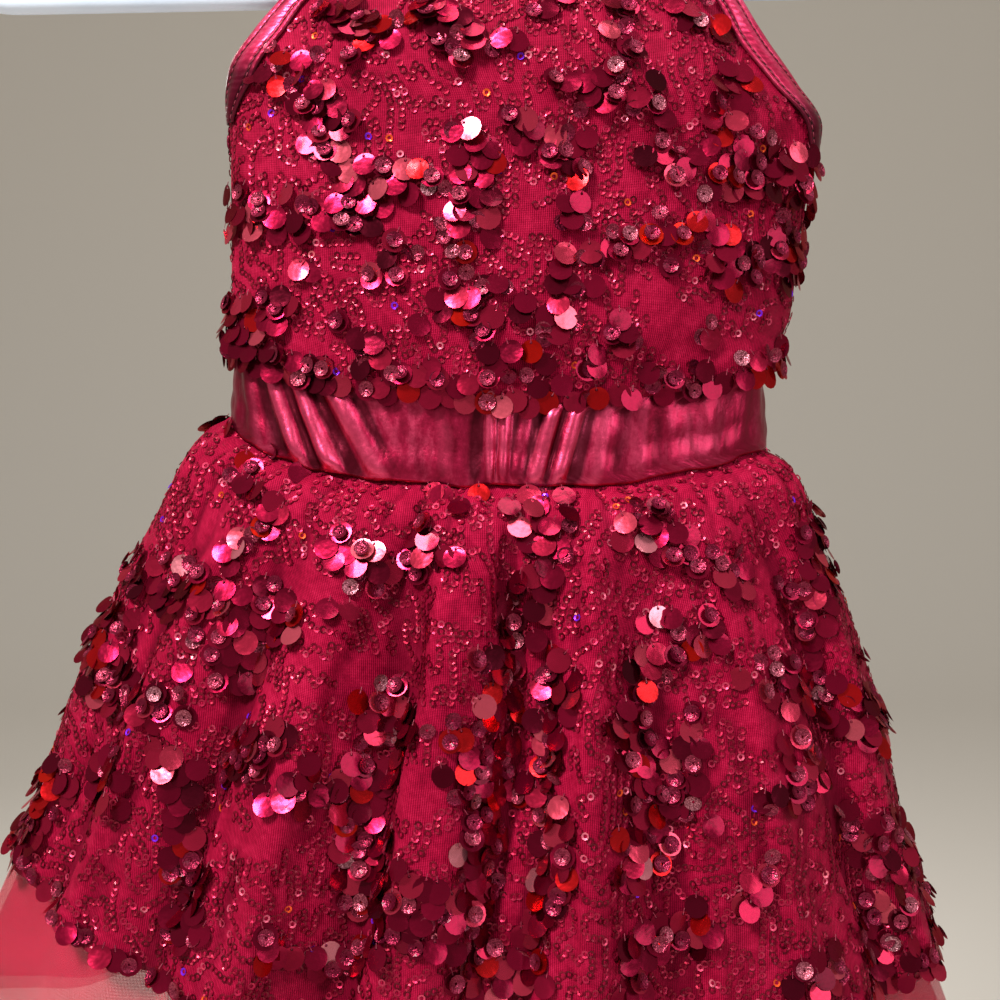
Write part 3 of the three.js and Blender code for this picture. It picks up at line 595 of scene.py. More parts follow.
def makeThread(name, dark, light):
    finish = Finish(name)
    twist = finish.noise(finish.objectPlace(), 2600.0, 2.0)
    return finish.close({
        "Base Color": finish.ramp(twist, [(0.3, dark), (0.7, light)]), "Roughness": 0.55 + twist * 0.2,
        "Normal": finish.bump(twist, 0.3, 0.0002)})


# sequin colours by tone: wine to pink, then painted glints: red, orange and pale tones standing for the few that catch
# the light
discStops = [
    (0.0, (0.05, 0.0005, 0.006)), (0.2, (0.16, 0.0012, 0.017)), (0.5, (0.30, 0.003, 0.032)),
    (0.72, (0.44, 0.011, 0.046)), (0.86, (0.62, 0.038, 0.085)), (0.94, (0.86, 0.12, 0.18)),
    (0.955, (0.50, 0.001, 0.002)), (0.985, (0.9, 0.02, 0.006)), (1.0, (0.92, 0.26, 0.33))]
cupStops = [
    (0.0, (0.16, 0.003, 0.022)), (0.5, (0.34, 0.02, 0.07)), (0.88, (0.55, 0.08, 0.14)), (1.0, (0.9, 0.42, 0.5))]
ringStops = [
    (0.0, (0.10, 0.001, 0.009)), (0.5, (0.27, 0.004, 0.026)), (0.8, (0.48, 0.015, 0.065)), (0.9, (0.70, 0.06, 0.14)),
    (0.94, (0.9, 0.2, 0.3)), (0.955, (0.9, 0.06, 0.01)), (0.98, (1.0, 0.14, 0.03)), (1.0, (0.22, 0.02, 0.85))]
meshCloth = makeMeshCloth()
foil = makeFoil("creased foil cloth", (0.20, 0.002, 0.020), (0.48, 0.011, 0.064), (0.92, 0.08, 0.20), 0.24)
bindingFoil = makeStrip()
discShine = makeSequin("large sequin foil", discStops, 0.15, 0.85, False)
cupShine = makeSequin("faceted sequin foil", cupStops, 0.22, 0.7, True)
ringShine = makeSequin("small sequin foil", ringStops, 0.3, 0.6, False)
netCloth = makeNet()
plastic = makePlastic()
sewingThread = makeThread("sewing thread", (0.10, 0.002, 0.012), (0.30, 0.01, 0.045))
sequinThread = makeThread("sequin thread", (0.10, 0.002, 0.015), (0.34, 0.02, 0.06))
print("finishes made")

# bodice, waistband, skirt and net
bodiceCloth = {"rows": 96, "columns": 104, "backRows": 40, "thickness": 0.8}
frontCreases = table("at width depth middle length lean", (
    (-58, 9, 1.5, 262, 30, 22), (-44, 7, -0.9, 284, 34, 14), (-30, 12, 1.2, 300, 36, 6), (-8, 9, 0.9, 322, 30, -5),
    (14, 11, 1.1, 296, 46, 9), (33, 9, -0.8, 318, 32, -8), (47, 8, 1.2, 286, 30, -14), (60, 10, 1.4, 268, 26, -24),
    (4, 14, 0.9, 214, 36, 8), (-26, 13, 0.8, 218, 30, -12), (24, 12, -0.8, 240, 30, 12), (-70, 6, 0.8, 316, 26, 4),
    (72, 6, 0.9, 320, 28, -5),
))
bodiceOval = {"centre": 0, "half": 100, "front": 60, "back": 60}
backCreases = creaseSet(11, 9, 100, 260, (288, 334), (0.7, 1.4), (6, 11), (16, 34))
creaseFade = {"frontTop": (150, 176), "backTop": (281, 290), "waist": (336, 346), "sides": 14}


# creases die away towards a panel's top, the waist and the side seams
def fadedCreases(creases, down, angle, top, middle):
    faded = creaseOffset(creases, angle, down) * smooth(*creaseFade[top], down)
    faded = faded * (1 - smooth(*creaseFade["waist"], down))
    return (faded * smooth(0, creaseFade["sides"], 90 - abs(angle - middle)))[..., None]


def bodiceFrontCloth(down, angle):
    outward = ovalPoint(bodiceOval, angle, 1, 0) - ovalPoint(bodiceOval, angle, 0, 0)
    return frontPoint(down, angle) + outward * fadedCreases(frontCreases, down, angle, "frontTop", 0)


def bodiceBackCloth(down, angle):
    return backPoint(down, angle) + np.array([0, 1, 0]) * fadedCreases(backCreases, down, angle, "backTop", 180)


frontReach, backReach = (bodice["neckline"], bodice["hem"]), (bodice["underarm"], bodice["hem"])
frontCloth = layCloth(bodiceFrontCloth, -90, 90, bodiceCloth["rows"], bodiceCloth["columns"], frontReach)
backCloth = layCloth(bodiceBackCloth, 90, 270, bodiceCloth["backRows"], bodiceCloth["columns"], backReach)
bodiceFrontPiece = clothPiece("bodiceFront", frontCloth, bodiceCloth["thickness"], meshCloth)
bodiceBackPiece = clothPiece("bodiceBack", backCloth, bodiceCloth["thickness"], meshCloth)
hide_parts("bodice_front")
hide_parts("bodice_back")

# The waistband's creases: top and bottom are the angles where each one starts and ends.
bandCloth = {"rows": 30, "columns": 168, "thickness": 0.8}
bandCreases = table("top bottom width height", (
    (-72, -60, 4.8, 1.8), (-59.5, -44.5, 4.2, 3.7), (-49.5, -35.5, 3.7, 4.0), (-40, -23.5, 4.8, 3.0),
    (-28, -19, 3.4, 0.8),
    (-13, -11, 4.2, 0.6), (-1.8, -2.0, 1.2, 2.6), (1.6, 0.6, 1.3, 2.0), (6.5, 3.4, 1.6, 1.4),
    (12.5, 6.8, 2.3, 2.8), (17.5, 11.4, 2.2, 2.6), (24, 19.5, 3.2, 0.9), (31.5, 30, 3.2, 0.9), (38, 38, 3.0, 0.5),
    (48, 50, 6.0, 0.4), (61, 63, 7.0, 0.3), (76, 73, 6.0, 0.4),
    (101, 108, 4.2, 1.4), (113, 119, 3.4, 1.8), (122, 126, 2.6, 1.3), (136, 131, 3.8, 1.6), (147, 146, 2.8, 1.9),
    (156, 158, 2.3, 1.2), (165, 162, 3.0, 1.8), (174, 175, 2.0, 1.5), (181, 181, 1.8, 2.0), (190, 187, 2.8, 1.5),
    (203, 207, 3.8, 1.8), (214, 212, 2.6, 1.2), (226, 231, 3.8, 1.6), (241, 239, 3.0, 1.4), (252, 256, 4.0, 1.0),
))


def bandHeight(angle, share):
    total = 0
    for k, crease in enumerate(bandCreases):
        away = apart(angle, lerp(crease["top"], crease["bottom"], share))
        uneven = 0.75 + 0.35 * hills(share * 2.3 + k, 0 * share + k * 1.7, 7)
        swelling = 0.55 + 0.45 * smooth(0, 0.75, share if k % 3 else 1 - share)
        ridge = hump(away, crease["width"], 1.5)
        total = np.maximum(total, crease["height"] * uneven * swelling * ridge) + 0.25 * crease["height"] * ridge
    return total


def bandPoint(half, hem):
    seam = -halfSeam if half == "front" else halfSeam

    def place(share, angle):
        top = hem(bodice["hem"] + 0 * angle, angle)[..., 2] + band["top"]
        seen = smooth(0.12, 0.3, share) * (1 - 0.6 * smooth(0.88, 1, share))
        full = 0.8 * smooth(0.25, 0.6, share) + 1.1 * smooth(0.62, 0.86, share)
        out = full + (bandHeight(angle, share) + 0.35 * hills(angle / 5, share * 4, 3)) * seen
        foot = levelAt(waistSeam, angle) + 0.9 * hills(angle / 7, 0 * angle, 9)
        return ovalPoint(waist, angle, out, lerp(top, foot, share), seam)

    return place


for half, hem, start in (("front", frontPoint, -90), ("back", backPoint, 90)):
    cloth = layCloth(bandPoint(half, hem), start, start + 180, bandCloth["rows"], bandCloth["columns"], (0, 1))
    piece = clothPiece("waistband" + half.capitalize(), cloth, bandCloth["thickness"], foil)
    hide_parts("waistband_" + half)

skirtCloth = {"rows": 84, "columns": 216, "thickness": 0.8, "gathers": 52, "gatherHeight": 3.2, "tuck": 1.3}
skirtCreases = (
    creaseSet(21, 17, -88, 88, (50, 175), (0.8, 2.0), (2.6, 5.5), (26, 70))
    + creaseSet(22, 15, -88, 88, (6, 60), (0.7, 1.6), (1.8, 3.6), (14, 34))
    + creaseSet(23, 16, 92, 268, (50, 170), (0.8, 2.0), (2.6, 5.5), (26, 70))
    + creaseSet(24, 14, 92, 268, (6, 60), (0.7, 1.6), (1.8, 3.6), (14, 34))
)


def gathers(angle, drop, count, height, seed):
    turned = angle + 2.0 * hills(angle / 9, drop / 40, seed)
    ridges = abs(np.sin(np.radians(turned * count / 2))) ** 0.8
    uneven = 0.6 + 0.5 * hills(angle / 6, 0 * angle, seed + 1)
    return height * ridges * uneven * smooth(-1, 4, drop) * (1 - smooth(10, 48, drop))


# the crisp edge of a pleat: a step up on one side (1 right, -1 left) that dies away beyond it
pleatEdges = table("at lean rise side reach start", (
    (-63, -2, 2.2, 1, 8, 40), (-47, -2, 2.6, -1, 9, 24), (-33, -1.5, 3.0, 1, 9, 60),
    (-19, -1.5, 2.4, -1, 7, 34), (-7.5, -1.6, 4.6, 1, 7, 16), (2.4, -1.2, 4.2, -1, 6, 4),
    (5.4, -1.4, 4.8, 1, 6, 2), (14.8, -1.0, 4.4, 1, 8, 2), (28, 0.8, 2.8, -1, 8, 30),
    (37, 1.2, 2.6, 1, 8, 14), (49, 1.5, 2.8, -1, 8, 46), (63, 2, 2.2, 1, 8, 30), (106, 1, 2.4, -1, 8, 30),
    (119, 1, 3.0, 1, 8, 12), (133, 1, 3.4, -1, 7, 40), (147, 0.6, 4.0, 1, 7, 4), (158, 0, 3.0, -1, 7, 22),
    (171, 0, 4.2, 1, 7, 2), (184, -0.4, 3.4, -1, 6, 10), (194, -0.8, 4.0, -1, 8, 3),
    (209, -1, 3.0, 1, 8, 34), (224, -1, 3.4, -1, 8, 8), (241, -1, 2.6, 1, 8, 40), (254, -1, 2.2, -1, 7, 26),
))


def pleats(angle, drop):
    total = 0
    for k, edge in enumerate(pleatEdges):
        wander = 1.1 * hills(drop / 34 + k * 3, 0 * drop + k, 61)
        away = apart(angle - edge["at"] - edge["lean"] * drop / 60, wander) * edge["side"]
        step = smooth(-0.8, 0.8, away) * (1 - smooth(0.25, 1, away / edge["reach"]))
        total = total + edge["rise"] * step * smooth(edge["start"], edge["start"] + 30, drop)
    return total


def skirtPlace(half):
    seam = -halfSeam if half == "front" else halfSeam

    def place(share, angle):
        drop = lerp(-band["heading"], levelAt(skirtLength, angle), share)
        seamless = smooth(0, 8, np.minimum(abs(angle + 90), np.minimum(abs(angle - 90), abs(angle - 270))))
        bent = creaseOffset(skirtCreases, angle, drop) * smooth(4, 24, drop)
        bent = np.clip(bent, -2.4, 2.6) + gathers(angle, drop, skirtCloth["gathers"], skirtCloth["gatherHeight"], 31)
        bent = bent + pleats(angle, drop) - skirtCloth["tuck"] * (1 - smooth(0.5, 4, drop))
        return skirtPoint(angle, drop, 0, bent * seamless, seam)

    return place


skirtCloths, skirtPieces = {}, {}
for half, start in (("front", -90), ("back", 90)):
    cloth = layCloth(skirtPlace(half), start, start + 180, skirtCloth["rows"], skirtCloth["columns"], (0, 1))
    piece = clothPiece("skirt" + half.capitalize(), cloth, skirtCloth["thickness"], meshCloth)
    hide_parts("skirt_" + half)
    skirtCloths[half], skirtPieces[half] = cloth, piece


def netPlace(layer, wave):
    def place(share, angle):
        rise = net["sideRise"] * (1 - sine(angle)) / 2
        drop = lerp(-band["heading"], layer["length"] - rise - waistSeam["leftDip"] * leftFront(angle), share)
        settled = smooth(0.8, net["settled"], drop)
        inward = lerp(layer["atWaist"], layer["inward"], settled)
        along = np.clip(drop / layer["length"], 0, 1)
        opened = smooth(net["ruffleFrom"], 1, along) ** 1.5
        ruffle = layer["ruffle"] * opened * np.cos(2 * np.pi * net["ruffles"] * wave(angle))
        fine = 0.9 * hills(angle / 4.5, drop / 60, layer["seed"], 80) * smooth(20, 60, drop)
        return skirtPoint(angle, drop, inward, ruffle + fine)

    return place


# how far round the hem an angle is, by length, from the left side seam
hemAngles = np.linspace(-90, 270, fineness["hem"])
hemSection = carry(skirtSections, "drop", np.array(net["hemDrop"]))
hemPoints = ovalPoint(hemSection, hemAngles, 0, 0)
hemAlong = lengthAlong(hemPoints)
frontLength = np.interp(90, hemAngles, hemAlong)
backShare = 0.5 + 0.5 * (hemAlong - frontLength) / (hemAlong[-1] - frontLength)
hemShare = np.where(hemAngles <= 90, 0.5 * hemAlong / frontLength, backShare)
netSheet = {"rows": 62, "columns": 288, "thickness": 0.3}
for layer in netLayers:
    place = netPlace(layer, lambda angle: np.interp(angle, hemAngles, hemShare))
    cloth = layCloth(place, -90, 270, netSheet["rows"], netSheet["columns"], (0, 1), True)
    piece = clothPiece(layer["name"], cloth, netSheet["thickness"], netCloth, True)
    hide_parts(layer["node"])
print("cloth laid")


# bindings: strips folded over an edge, whose section gives distances inward from it and off the panel
binding = {
    "thickness": 0.8, "along": 150, "middle": 60, "ridge": 4, "probe": 0.4,
    "section": (
        (9.0, 1.2), (8.3, 1.5), (7.2, 1.3), (6.2, 1.62), (4.6, 1.74), (3.0, 1.62), (2.0, 1.3), (1.0, 1.5),
        (-0.2, 1.32), (-0.9, 0.85), (-1.15, 0.0), (-0.9, -0.85), (-0.2, -1.3), (2.4, -1.45), (5.0, -1.45),
        (9.0, -1.35)),
    "stitchLines": (2.0, 7.2), "stitchSize": (1.15, 0.27, 0.3), "stitchPitch": 2.7, "stitchHeight": 1.78,
    "puckerFrom": 1.55, "underarmGap": 1.0,
}


def armholeEdge(side):
    def place(share, inward):
        down = lerp(bodice["neckline"], bodice["underarm"] - binding["underarmGap"], share)
        angles = np.linspace(90 * side, 0, fineness["edge"])
        made = np.empty((len(share), inward.shape[1], 3))
        for r in range(len(share)):
            points = frontPoint(down[r, 0] + 0 * angles, angles)
            along = lengthAlong(points)
            reach = np.maximum(inward[r], 0) * slant(down[r, 0])
            made[r] = pointsAt(reach, along, points)
        return made

    return place


# an edge that runs level round half the body; butt is the width left free at both ends
def levelEdge(surface, down, start, butt):
    def place(share, inward):
        angles = np.linspace(start, start + 180, fineness["edge"])
        made = []
        for reach in inward[0]:
            points = surface(down + max(reach, 0) + 0 * angles, angles)
            along = lengthAlong(points)
            made.append(pointsAt(lerp(butt, along[-1] - butt, share[:, 0]), along, points))
        return np.stack(made, 1)

    return place


def foldOver(edge, outward, seed):
    section = np.array(binding["section"])
    share = np.linspace(0, 1, binding["along"] + 1)[:, None]
    inward = section[:, 0] + 0 * share
    points = edge(share, inward)
    nearer = edge(share, np.maximum(inward, 0) + binding["probe"])
    edgeOut = unit(edge(share, 0 * inward) - edge(share, 0 * inward + binding["probe"]))
    alongEdge = unit(np.gradient(points, axis=0))
    normals = unit(np.cross(nearer - points, alongEdge))
    normals *= np.sign((normals * outward).sum(-1, keepdims=True).sum())
    along = share + 0 * inward
    pucker = 0.16 * hills(along * 46, inward / 3, seed) + 0.2 * hills(along * 17, inward / 5, seed + 1)
    pucker = pucker * (section[:, 1] > binding["puckerFrom"])
    points = points + edgeOut * np.maximum(-section[:, 0], 0)[:, None] + normals * (section[:, 1] + pucker)[..., None]
    long, wide = (lengthAlong(line)[-1] for line in (points[:, binding["ridge"]], points[binding["middle"]]))
    return {"points": points, "normals": normals, "width": np.full(len(points), wide), "height": long}


neckButt = (layers["bindingWidth"] + layers["seamGap"] + 0.1) * armholeSlants[0]["slant"]
bindingEdges = {
    "armholeBindingLeft": ("armhole_binding_left", armholeEdge(-1), (0, -1, 0), 51),
    "armholeBindingRight": ("armhole_binding_right", armholeEdge(1), (0, -1, 0), 52),
    "neckBinding": ("neck_binding", levelEdge(frontPoint, bodice["neckline"], -90, neckButt), (0, -1, 0), 53),
    "backBinding": ("back_binding", levelEdge(backPoint, bodice["underarm"], 90, 0), (0, 1, 0), 54),
}
bindingPieces, stitchSpots = {}, {}
for name, (node, edge, outward, seed) in bindingEdges.items():
    strip = foldOver(edge, np.array(outward), seed)
    piece = clothPiece(name, strip, binding["thickness"], bindingFoil)
    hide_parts(node)
    bindingPieces[name] = piece
    spots = []
    for inward in binding["stitchLines"]:
        share = np.linspace(0, 1, fineness["stitches"])[:, None]
        line = edge(share, inward + 0 * share)[:, 0]
        near = edge(share, inward + binding["probe"] + 0 * share)[:, 0]
        along = lengthAlong(line)
        tangent = unit(np.gradient(line, axis=0))
        normal = unit(np.cross(near - line, tangent))
        normal *= np.sign((normal * np.array(outward)).sum())
        for at in np.arange(2.0, along[-1] - 2, binding["stitchPitch"]):
            k = np.searchsorted(along, at)
            spots.append((line[k] + normal[k] * binding["stitchHeight"], tangent[k], normal[k]))
    stitchSpots[name] = spots
print("bindings folded")


# a small shape, made once and then set down at many places as one mesh
def template(build):
    bm = bmesh.new()
    build(bm)
    bmesh.ops.triangulate(bm, faces=bm.faces)
    bm.verts.ensure_lookup_table()
    corners = np.array([v.co[:] for v in bm.verts])
    faces = np.array([[v.index for v in f.verts] for f in bm.faces])
    bm.free()
    return corners, faces


# the edges of some corners, each once and always in the same order
def edgesOf(corners):
    return list(dict.fromkeys(edge for corner in corners for edge in corner.link_edges))


def scatter(name, shape, places, axes, tones, material, slot, sizes=None, smoothShade=False):
    corners, faces = shape
    sizes = np.ones(len(places)) if sizes is None else sizes
    spots = places[:, None, :] + np.einsum("nc,kcd->knd", corners, axes) * sizes[:, None, None]
    index = faces[None] + (np.arange(len(places)) * len(corners))[:, None, None]
    mesh = bpy.data.meshes.new(name)
    count = index.shape[0] * index.shape[1]
    mesh.vertices.add(spots.shape[0] * spots.shape[1])
    mesh.vertices.foreach_set("co", (spots / 1000).ravel())
    mesh.loops.add(count * 3)
    mesh.loops.foreach_set("vertex_index", index.ravel().astype(np.int32))
    mesh.polygons.add(count)
    mesh.polygons.foreach_set("loop_start", np.arange(0, count * 3, 3, dtype=np.int32))
    mesh.update(calc_edges=True)
    tone = mesh.attributes.new("tone", "FLOAT", "POINT")
    tone.data.foreach_set("value", np.repeat(tones, len(corners)).astype(np.float32))
    return finishPiece(name, mesh, material, smoothShade)


# a flat round sequin hung by a hole near its rim; the hole is at the origin
disc = {"radius": 4.5, "hole": 0.62, "holeFromCentre": 3.35, "sides": 14, "bend": 0.4}


def buildDisc(bm):
    rim = bmesh.ops.create_circle(bm, segments=disc["sides"], radius=disc["radius"])["verts"]
    bmesh.ops.translate(bm, verts=rim, vec=(0, -disc["holeFromCentre"], 0))
    bmesh.ops.create_circle(bm, segments=6, radius=disc["hole"])
    bmesh.ops.triangle_fill(bm, use_beauty=True, edges=bm.edges[:], normal=(0, 0, 1))
    # a little bent, so that light runs across it
    for corner in bm.verts:
        corner.co.z = disc["bend"] * (((corner.co.y + disc["holeFromCentre"]) / disc["radius"]) ** 2 - 0.55)


# a faceted cup with its hole in the middle: radius, height, corners and turn of each ring
cupRings = ((3.0, 0.55, 12, 0), (1.9, 0.1, 12, 15), (0.5, -0.25, 6, 0))


def buildCup(bm):
    rings = []
    for radius, height, segments, turn in cupRings:
        ring = bmesh.ops.create_circle(bm, segments=segments, radius=radius)["verts"]
        for corner in ring:
            corner.co.z = height
        bmesh.ops.rotate(bm, verts=ring, cent=(0, 0, 0), matrix=Matrix.Rotation(math.radians(turn), 3, "Z"))
        rings.append(edgesOf(ring))
    bmesh.ops.bridge_loops(bm, edges=rings[0] + rings[1])
    bmesh.ops.bridge_loops(bm, edges=rings[1] + rings[2])


ringSequin = {"radius": 1.38, "hole": 0.72, "dish": 0.22, "sides": 8}


def buildRing(bm):
    outer, inner = (
        bmesh.ops.create_circle(bm, segments=ringSequin["sides"], radius=ringSequin[edge])["verts"]
        for edge in ("radius", "hole"))
    for corner in outer:
        corner.co.z = ringSequin["dish"]
    bmesh.ops.bridge_loops(bm, edges=edgesOf(outer + inner))


def buildStitch(bm):
    made = bmesh.ops.create_icosphere(bm, subdivisions=1, radius=1.0)["verts"]
    bmesh.ops.scale(bm, verts=made, vec=binding["stitchSize"])


# the short thread from a large sequin's hole up to the cloth
hangThread = {"segments": 4, "radius1": 0.19, "radius2": 0.15, "depth": 2.3}


def buildHangThread(bm):
    made = bmesh.ops.create_cone(bm, cap_ends=False, **hangThread)["verts"]
    bmesh.ops.rotate(bm, verts=made, cent=(0, 0, 0), matrix=Matrix.Rotation(math.radians(-90), 3, "X"))
    bmesh.ops.translate(bm, verts=made, vec=(0, 0.95, 0.1))


discShape, cupShape, ringShape = template(buildDisc), template(buildCup), template(buildRing)
stitchShape, hangShape = template(buildStitch), template(buildHangThread)

for name, spots in stitchSpots.items():
    places = np.array([s[0] for s in spots])
    axes = np.array([[s[1], np.cross(s[2], s[1]), s[2]] for s in spots])
    tones = np.full(len(places), 0.5)
    scatter(
        name + "Stitches", stitchShape, places, axes, tones, sewingThread, "binding", smoothShade=True)


# one long line that wanders over a cloth and never crosses itself: the outline of a random tree
def wanderingLine(width, height, pitch, seed, upright):
    pick = random.Random(seed)
    columns, rows = int(width / pitch / 2) + 1, int(height / pitch / 2) + 1
    edges = [((c, r), (c + 1, r), pick.random()) for c in range(columns - 1) for r in range(rows)]
    edges += [((c, r), (c, r + 1), pick.random() * upright) for c in range(columns) for r in range(rows - 1)]
    root = {(c, r): (c, r) for c in range(columns) for r in range(rows)}

    def find(cell):
        while root[cell] != cell:
            root[cell] = root[root[cell]]
            cell = root[cell]
        return cell

    links = {}

    def link(a, b):
        links.setdefault(a, set()).add(b)
        links.setdefault(b, set()).add(a)

    for c, r in root:
        x, y = 2 * c, 2 * r
        corners = ((x, y), (x + 1, y), (x + 1, y + 1), (x, y + 1))
        for k in range(4):
            link(corners[k], corners[(k + 1) % 4])
    for a, b, _ in sorted(edges, key=lambda edge: edge[2]):
        if find(a) == find(b):
            continue
        root[find(a)] = find(b)
        x, y = 2 * a[0], 2 * a[1]
        if a[1] == b[1]:
            pairs = (((x + 1, y), (x + 1, y + 1)), ((x + 2, y), (x + 2, y + 1)))
        else:
            pairs = (((x, y + 1), (x + 1, y + 1)), ((x, y + 2), (x + 1, y + 2)))
        for p, q in pairs:
            links[p].discard(q)
            links[q].discard(p)
        link(pairs[0][0], pairs[1][0])
        link(pairs[0][1], pairs[1][1])
    line, before, here = [(0, 0)], None, (0, 0)
    while True:
        ahead = next(n for n in sorted(links[here]) if n != before)
        if ahead == (0, 0):
            break
        line.append(ahead)
        before, here = here, ahead
    points = (np.array(line, float) + 0.5) * pitch - np.array([columns * pitch, 0])
    for _ in range(2):
        points = 0.25 * np.roll(points, 1, 0) + 0.5 * points + 0.25 * np.roll(points, -1, 0)
    x, y = points.T
    warp = np.stack([hills(x / 21 + 9, y / 17, seed), hills(x / 19, y / 23 + 5, seed + 1)], -1)
    curl = np.stack([hills(x / 6.5, y / 6.5 + 9, seed + 2), hills(x / 6.5 + 5, y / 6.5, seed + 3)], -1)
    return points + 2.6 * warp + 1.5 * curl


def evenly(points, step):
    along = lengthAlong(points)
    return pointsAt(np.arange(0, along[-1], step), along, points)


sequins = {
    "linePitch": 3.35, "ringPitch": 2.4, "upright": 0.55, "siteSpacing": 6.1, "cover": 0.4, "cupShare": 0.17,
    "tilt": (3, 26), "swing": 30, "twist": 15, "hem": 0.7, "onTop": 0.24, "sizes": (0.9, 1.0),
    "ringLift": 0.62, "ringLie": ((0, 0.1), (0.13, 0.1), (0, 0.12)),
    "ringGlints": ((0.95, 1, 0.86, 0.945), (0.99, 1, 0.97, 0.97), (0.995, 1, 1.0, 1.0)),
    "discGlints": ((0.8, 0.86, 0.956, 0.956), (0.89, 1, 0.8, 0.94), (0.982, 1, 0.955, 0.985), (0.994, 1, 1.0, 1.0)),
}
gravity = np.array([0, 0, -1.0])


def keepInside(cloth, x, y, top, side, foot):
    return (y > top) & (y < cloth["height"] - foot) & (abs(x) < widthAt(cloth, y) / 2 - side(y))


# axes of things that lie on a cloth, turned in its plane and leant out from it
def lieOn(normal, forward, turn=0, lean=0, roll=0):
    forward = unit(forward - normal * (forward * normal).sum(-1, keepdims=True))
    side = np.cross(normal, forward)
    turn, lean, roll = (np.asarray(v)[..., None] for v in (turn, lean, roll))
    forward, side = forward * np.cos(turn) + side * np.sin(turn), side * np.cos(turn) - forward * np.sin(turn)
    forward, normal = forward * np.cos(lean) + normal * np.sin(lean), normal * np.cos(lean) - forward * np.sin(lean)
    side, normal = side * np.cos(roll) + normal * np.sin(roll), normal * np.cos(roll) - side * np.sin(roll)
    return forward, side, normal


# The front's clusters of large sequins, as lines across the camera's view in hundredths of its
# width from its top left corner, each ending with its reach.
strands = [
    ((26.5, 5.5, 33, 11), 2.0), ((33, 15, 38.5, 18.5), 1.8), ((29, 21, 37, 20), 1.8), ((23.5, 20, 24, 22), 1.6),
    ((33, 0, 38, 3), 1.8), ((43, 1, 48, 4), 1.6), ((40, 18.5, 44, 18), 1.2),
    ((46, 12, 49, 16, 46.5, 21, 46, 29), 1.5), ((40.5, 25, 39.5, 26.5), 1.4), ((51, 10, 54, 14), 1.3),
    ((57.5, 13, 57.8, 20, 57.5, 27, 56.5, 31), 1.6), ((60, 24, 66, 23), 1.2), ((63, 33, 60.5, 35), 1.6),
    ((56, 7, 64, 9.5), 1.1), ((62, 1, 62.5, 4), 1.3), ((68, 0.5, 73, 1.5), 1.4), ((73.5, 7, 71, 13), 1.7),
    ((65.5, 14, 68, 15), 1.8), ((73, 17, 82, 14, 81.5, 19), 2.0), ((78, 23.5, 80, 26), 1.6),
    ((72, 25, 75, 25), 1.2), ((23, 31, 28, 30.5), 1.6), ((23, 34, 29, 38), 1.6),
    ((37.5, 35, 40, 38.5, 44, 38.5, 52, 38.5), 1.5), ((54.5, 36.5, 55, 37), 1.2), ((65, 38, 70, 38.5), 1.3),
    ((70, 33, 71, 33.5), 1.2), ((74, 38, 79, 35), 1.5), ((24, 47, 28, 51, 23.5, 55), 1.4),
    ((13, 56.5, 19, 58, 27, 60, 25, 66, 23, 64), 2.0), ((12, 61.5, 11, 67, 15, 70), 1.6),
    ((33.5, 53, 37, 57, 34, 60), 1.4), ((42.5, 52.5, 42.5, 56, 46, 54.5), 1.2),
    ((54.5, 49.5, 55.5, 56, 52, 60, 50, 64, 49.5, 70), 2.2), ((64, 52, 68, 54, 73, 57), 1.9),
    ((65.5, 61.5, 70, 62), 1.4), ((64.5, 66.5, 62.5, 72, 65, 79, 64, 85), 1.9), ((68.5, 71, 69, 80), 1.2),
    ((81, 52, 81.5, 64), 1.3), ((76, 67, 85, 70, 87, 72), 1.8),
    ((55.5, 66, 55, 76, 55.5, 80, 54.5, 90, 53, 98), 1.8), ((39, 70, 35, 78, 37, 85, 40, 89), 2.6),
    ((48, 74, 47, 86, 44, 90, 48, 98), 2.3), ((6, 77, 2, 83, 0.5, 85), 1.8), ((11, 76, 12, 79), 1.4),
    ((4, 93, 5, 94.5), 1.4), ((15, 74, 18.5, 76, 18, 82, 19.5, 88, 19, 93), 1.3), ((24, 76, 27, 73), 1.7),
    ((30, 76, 30.5, 78), 1.2), ((16, 98, 17, 99), 1.4), ((27, 94, 34, 96, 38, 94), 1.8), ((34.5, 87, 35, 89), 1.4),
    ((64, 93, 62, 99), 1.6), ((70, 91, 70, 93), 1.3), ((74.5, 90, 77, 86), 1.4), ((77, 80, 81, 78, 79, 74), 1.3),
    ((85, 82, 89, 86, 87, 93, 92, 96), 1.9), ((80, 99, 82, 96), 1.4),
]


def strandField(points):
    away = points / 1000 - np.array(cameraView["place"])
    pitch = math.radians(cameraView["pitchDown"])
    deep = away[:, 1] * math.cos(pitch) - away[:, 2] * math.sin(pitch)
    high = away[:, 1] * math.sin(pitch) + away[:, 2] * math.cos(pitch)
    zoom = cameraView["lens"] / cameraView["sensor"] * 100
    seen = np.stack([50 + zoom * away[:, 0] / deep, 50 - zoom * high / deep], -1)
    best = np.zeros(len(points))
    for line, reach in strands:
        corners = np.array(line, float).reshape(-1, 2)
        for a, b in zip(corners, corners[1:]):
            share = np.clip(((seen - a) @ (b - a)) / max((b - a) @ (b - a), 1e-6), 0, 1)
            away = np.linalg.norm(seen - a - share[:, None] * (b - a), axis=1)
            best = np.maximum(best, np.exp(-(away / reach) ** 2))
    return best


# painted glints: the tones of a few sequins replaced by glint tones; each step takes the draws between its first two
# values
def withGlints(chance, tones, steps):
    draw = chance.random(len(tones))
    for start, end, low, high in steps:
        fresh = chance.uniform(low, high, len(tones)) if high > low else low
        tones = np.where((draw > start) & (draw < end), fresh, tones)
    return tones


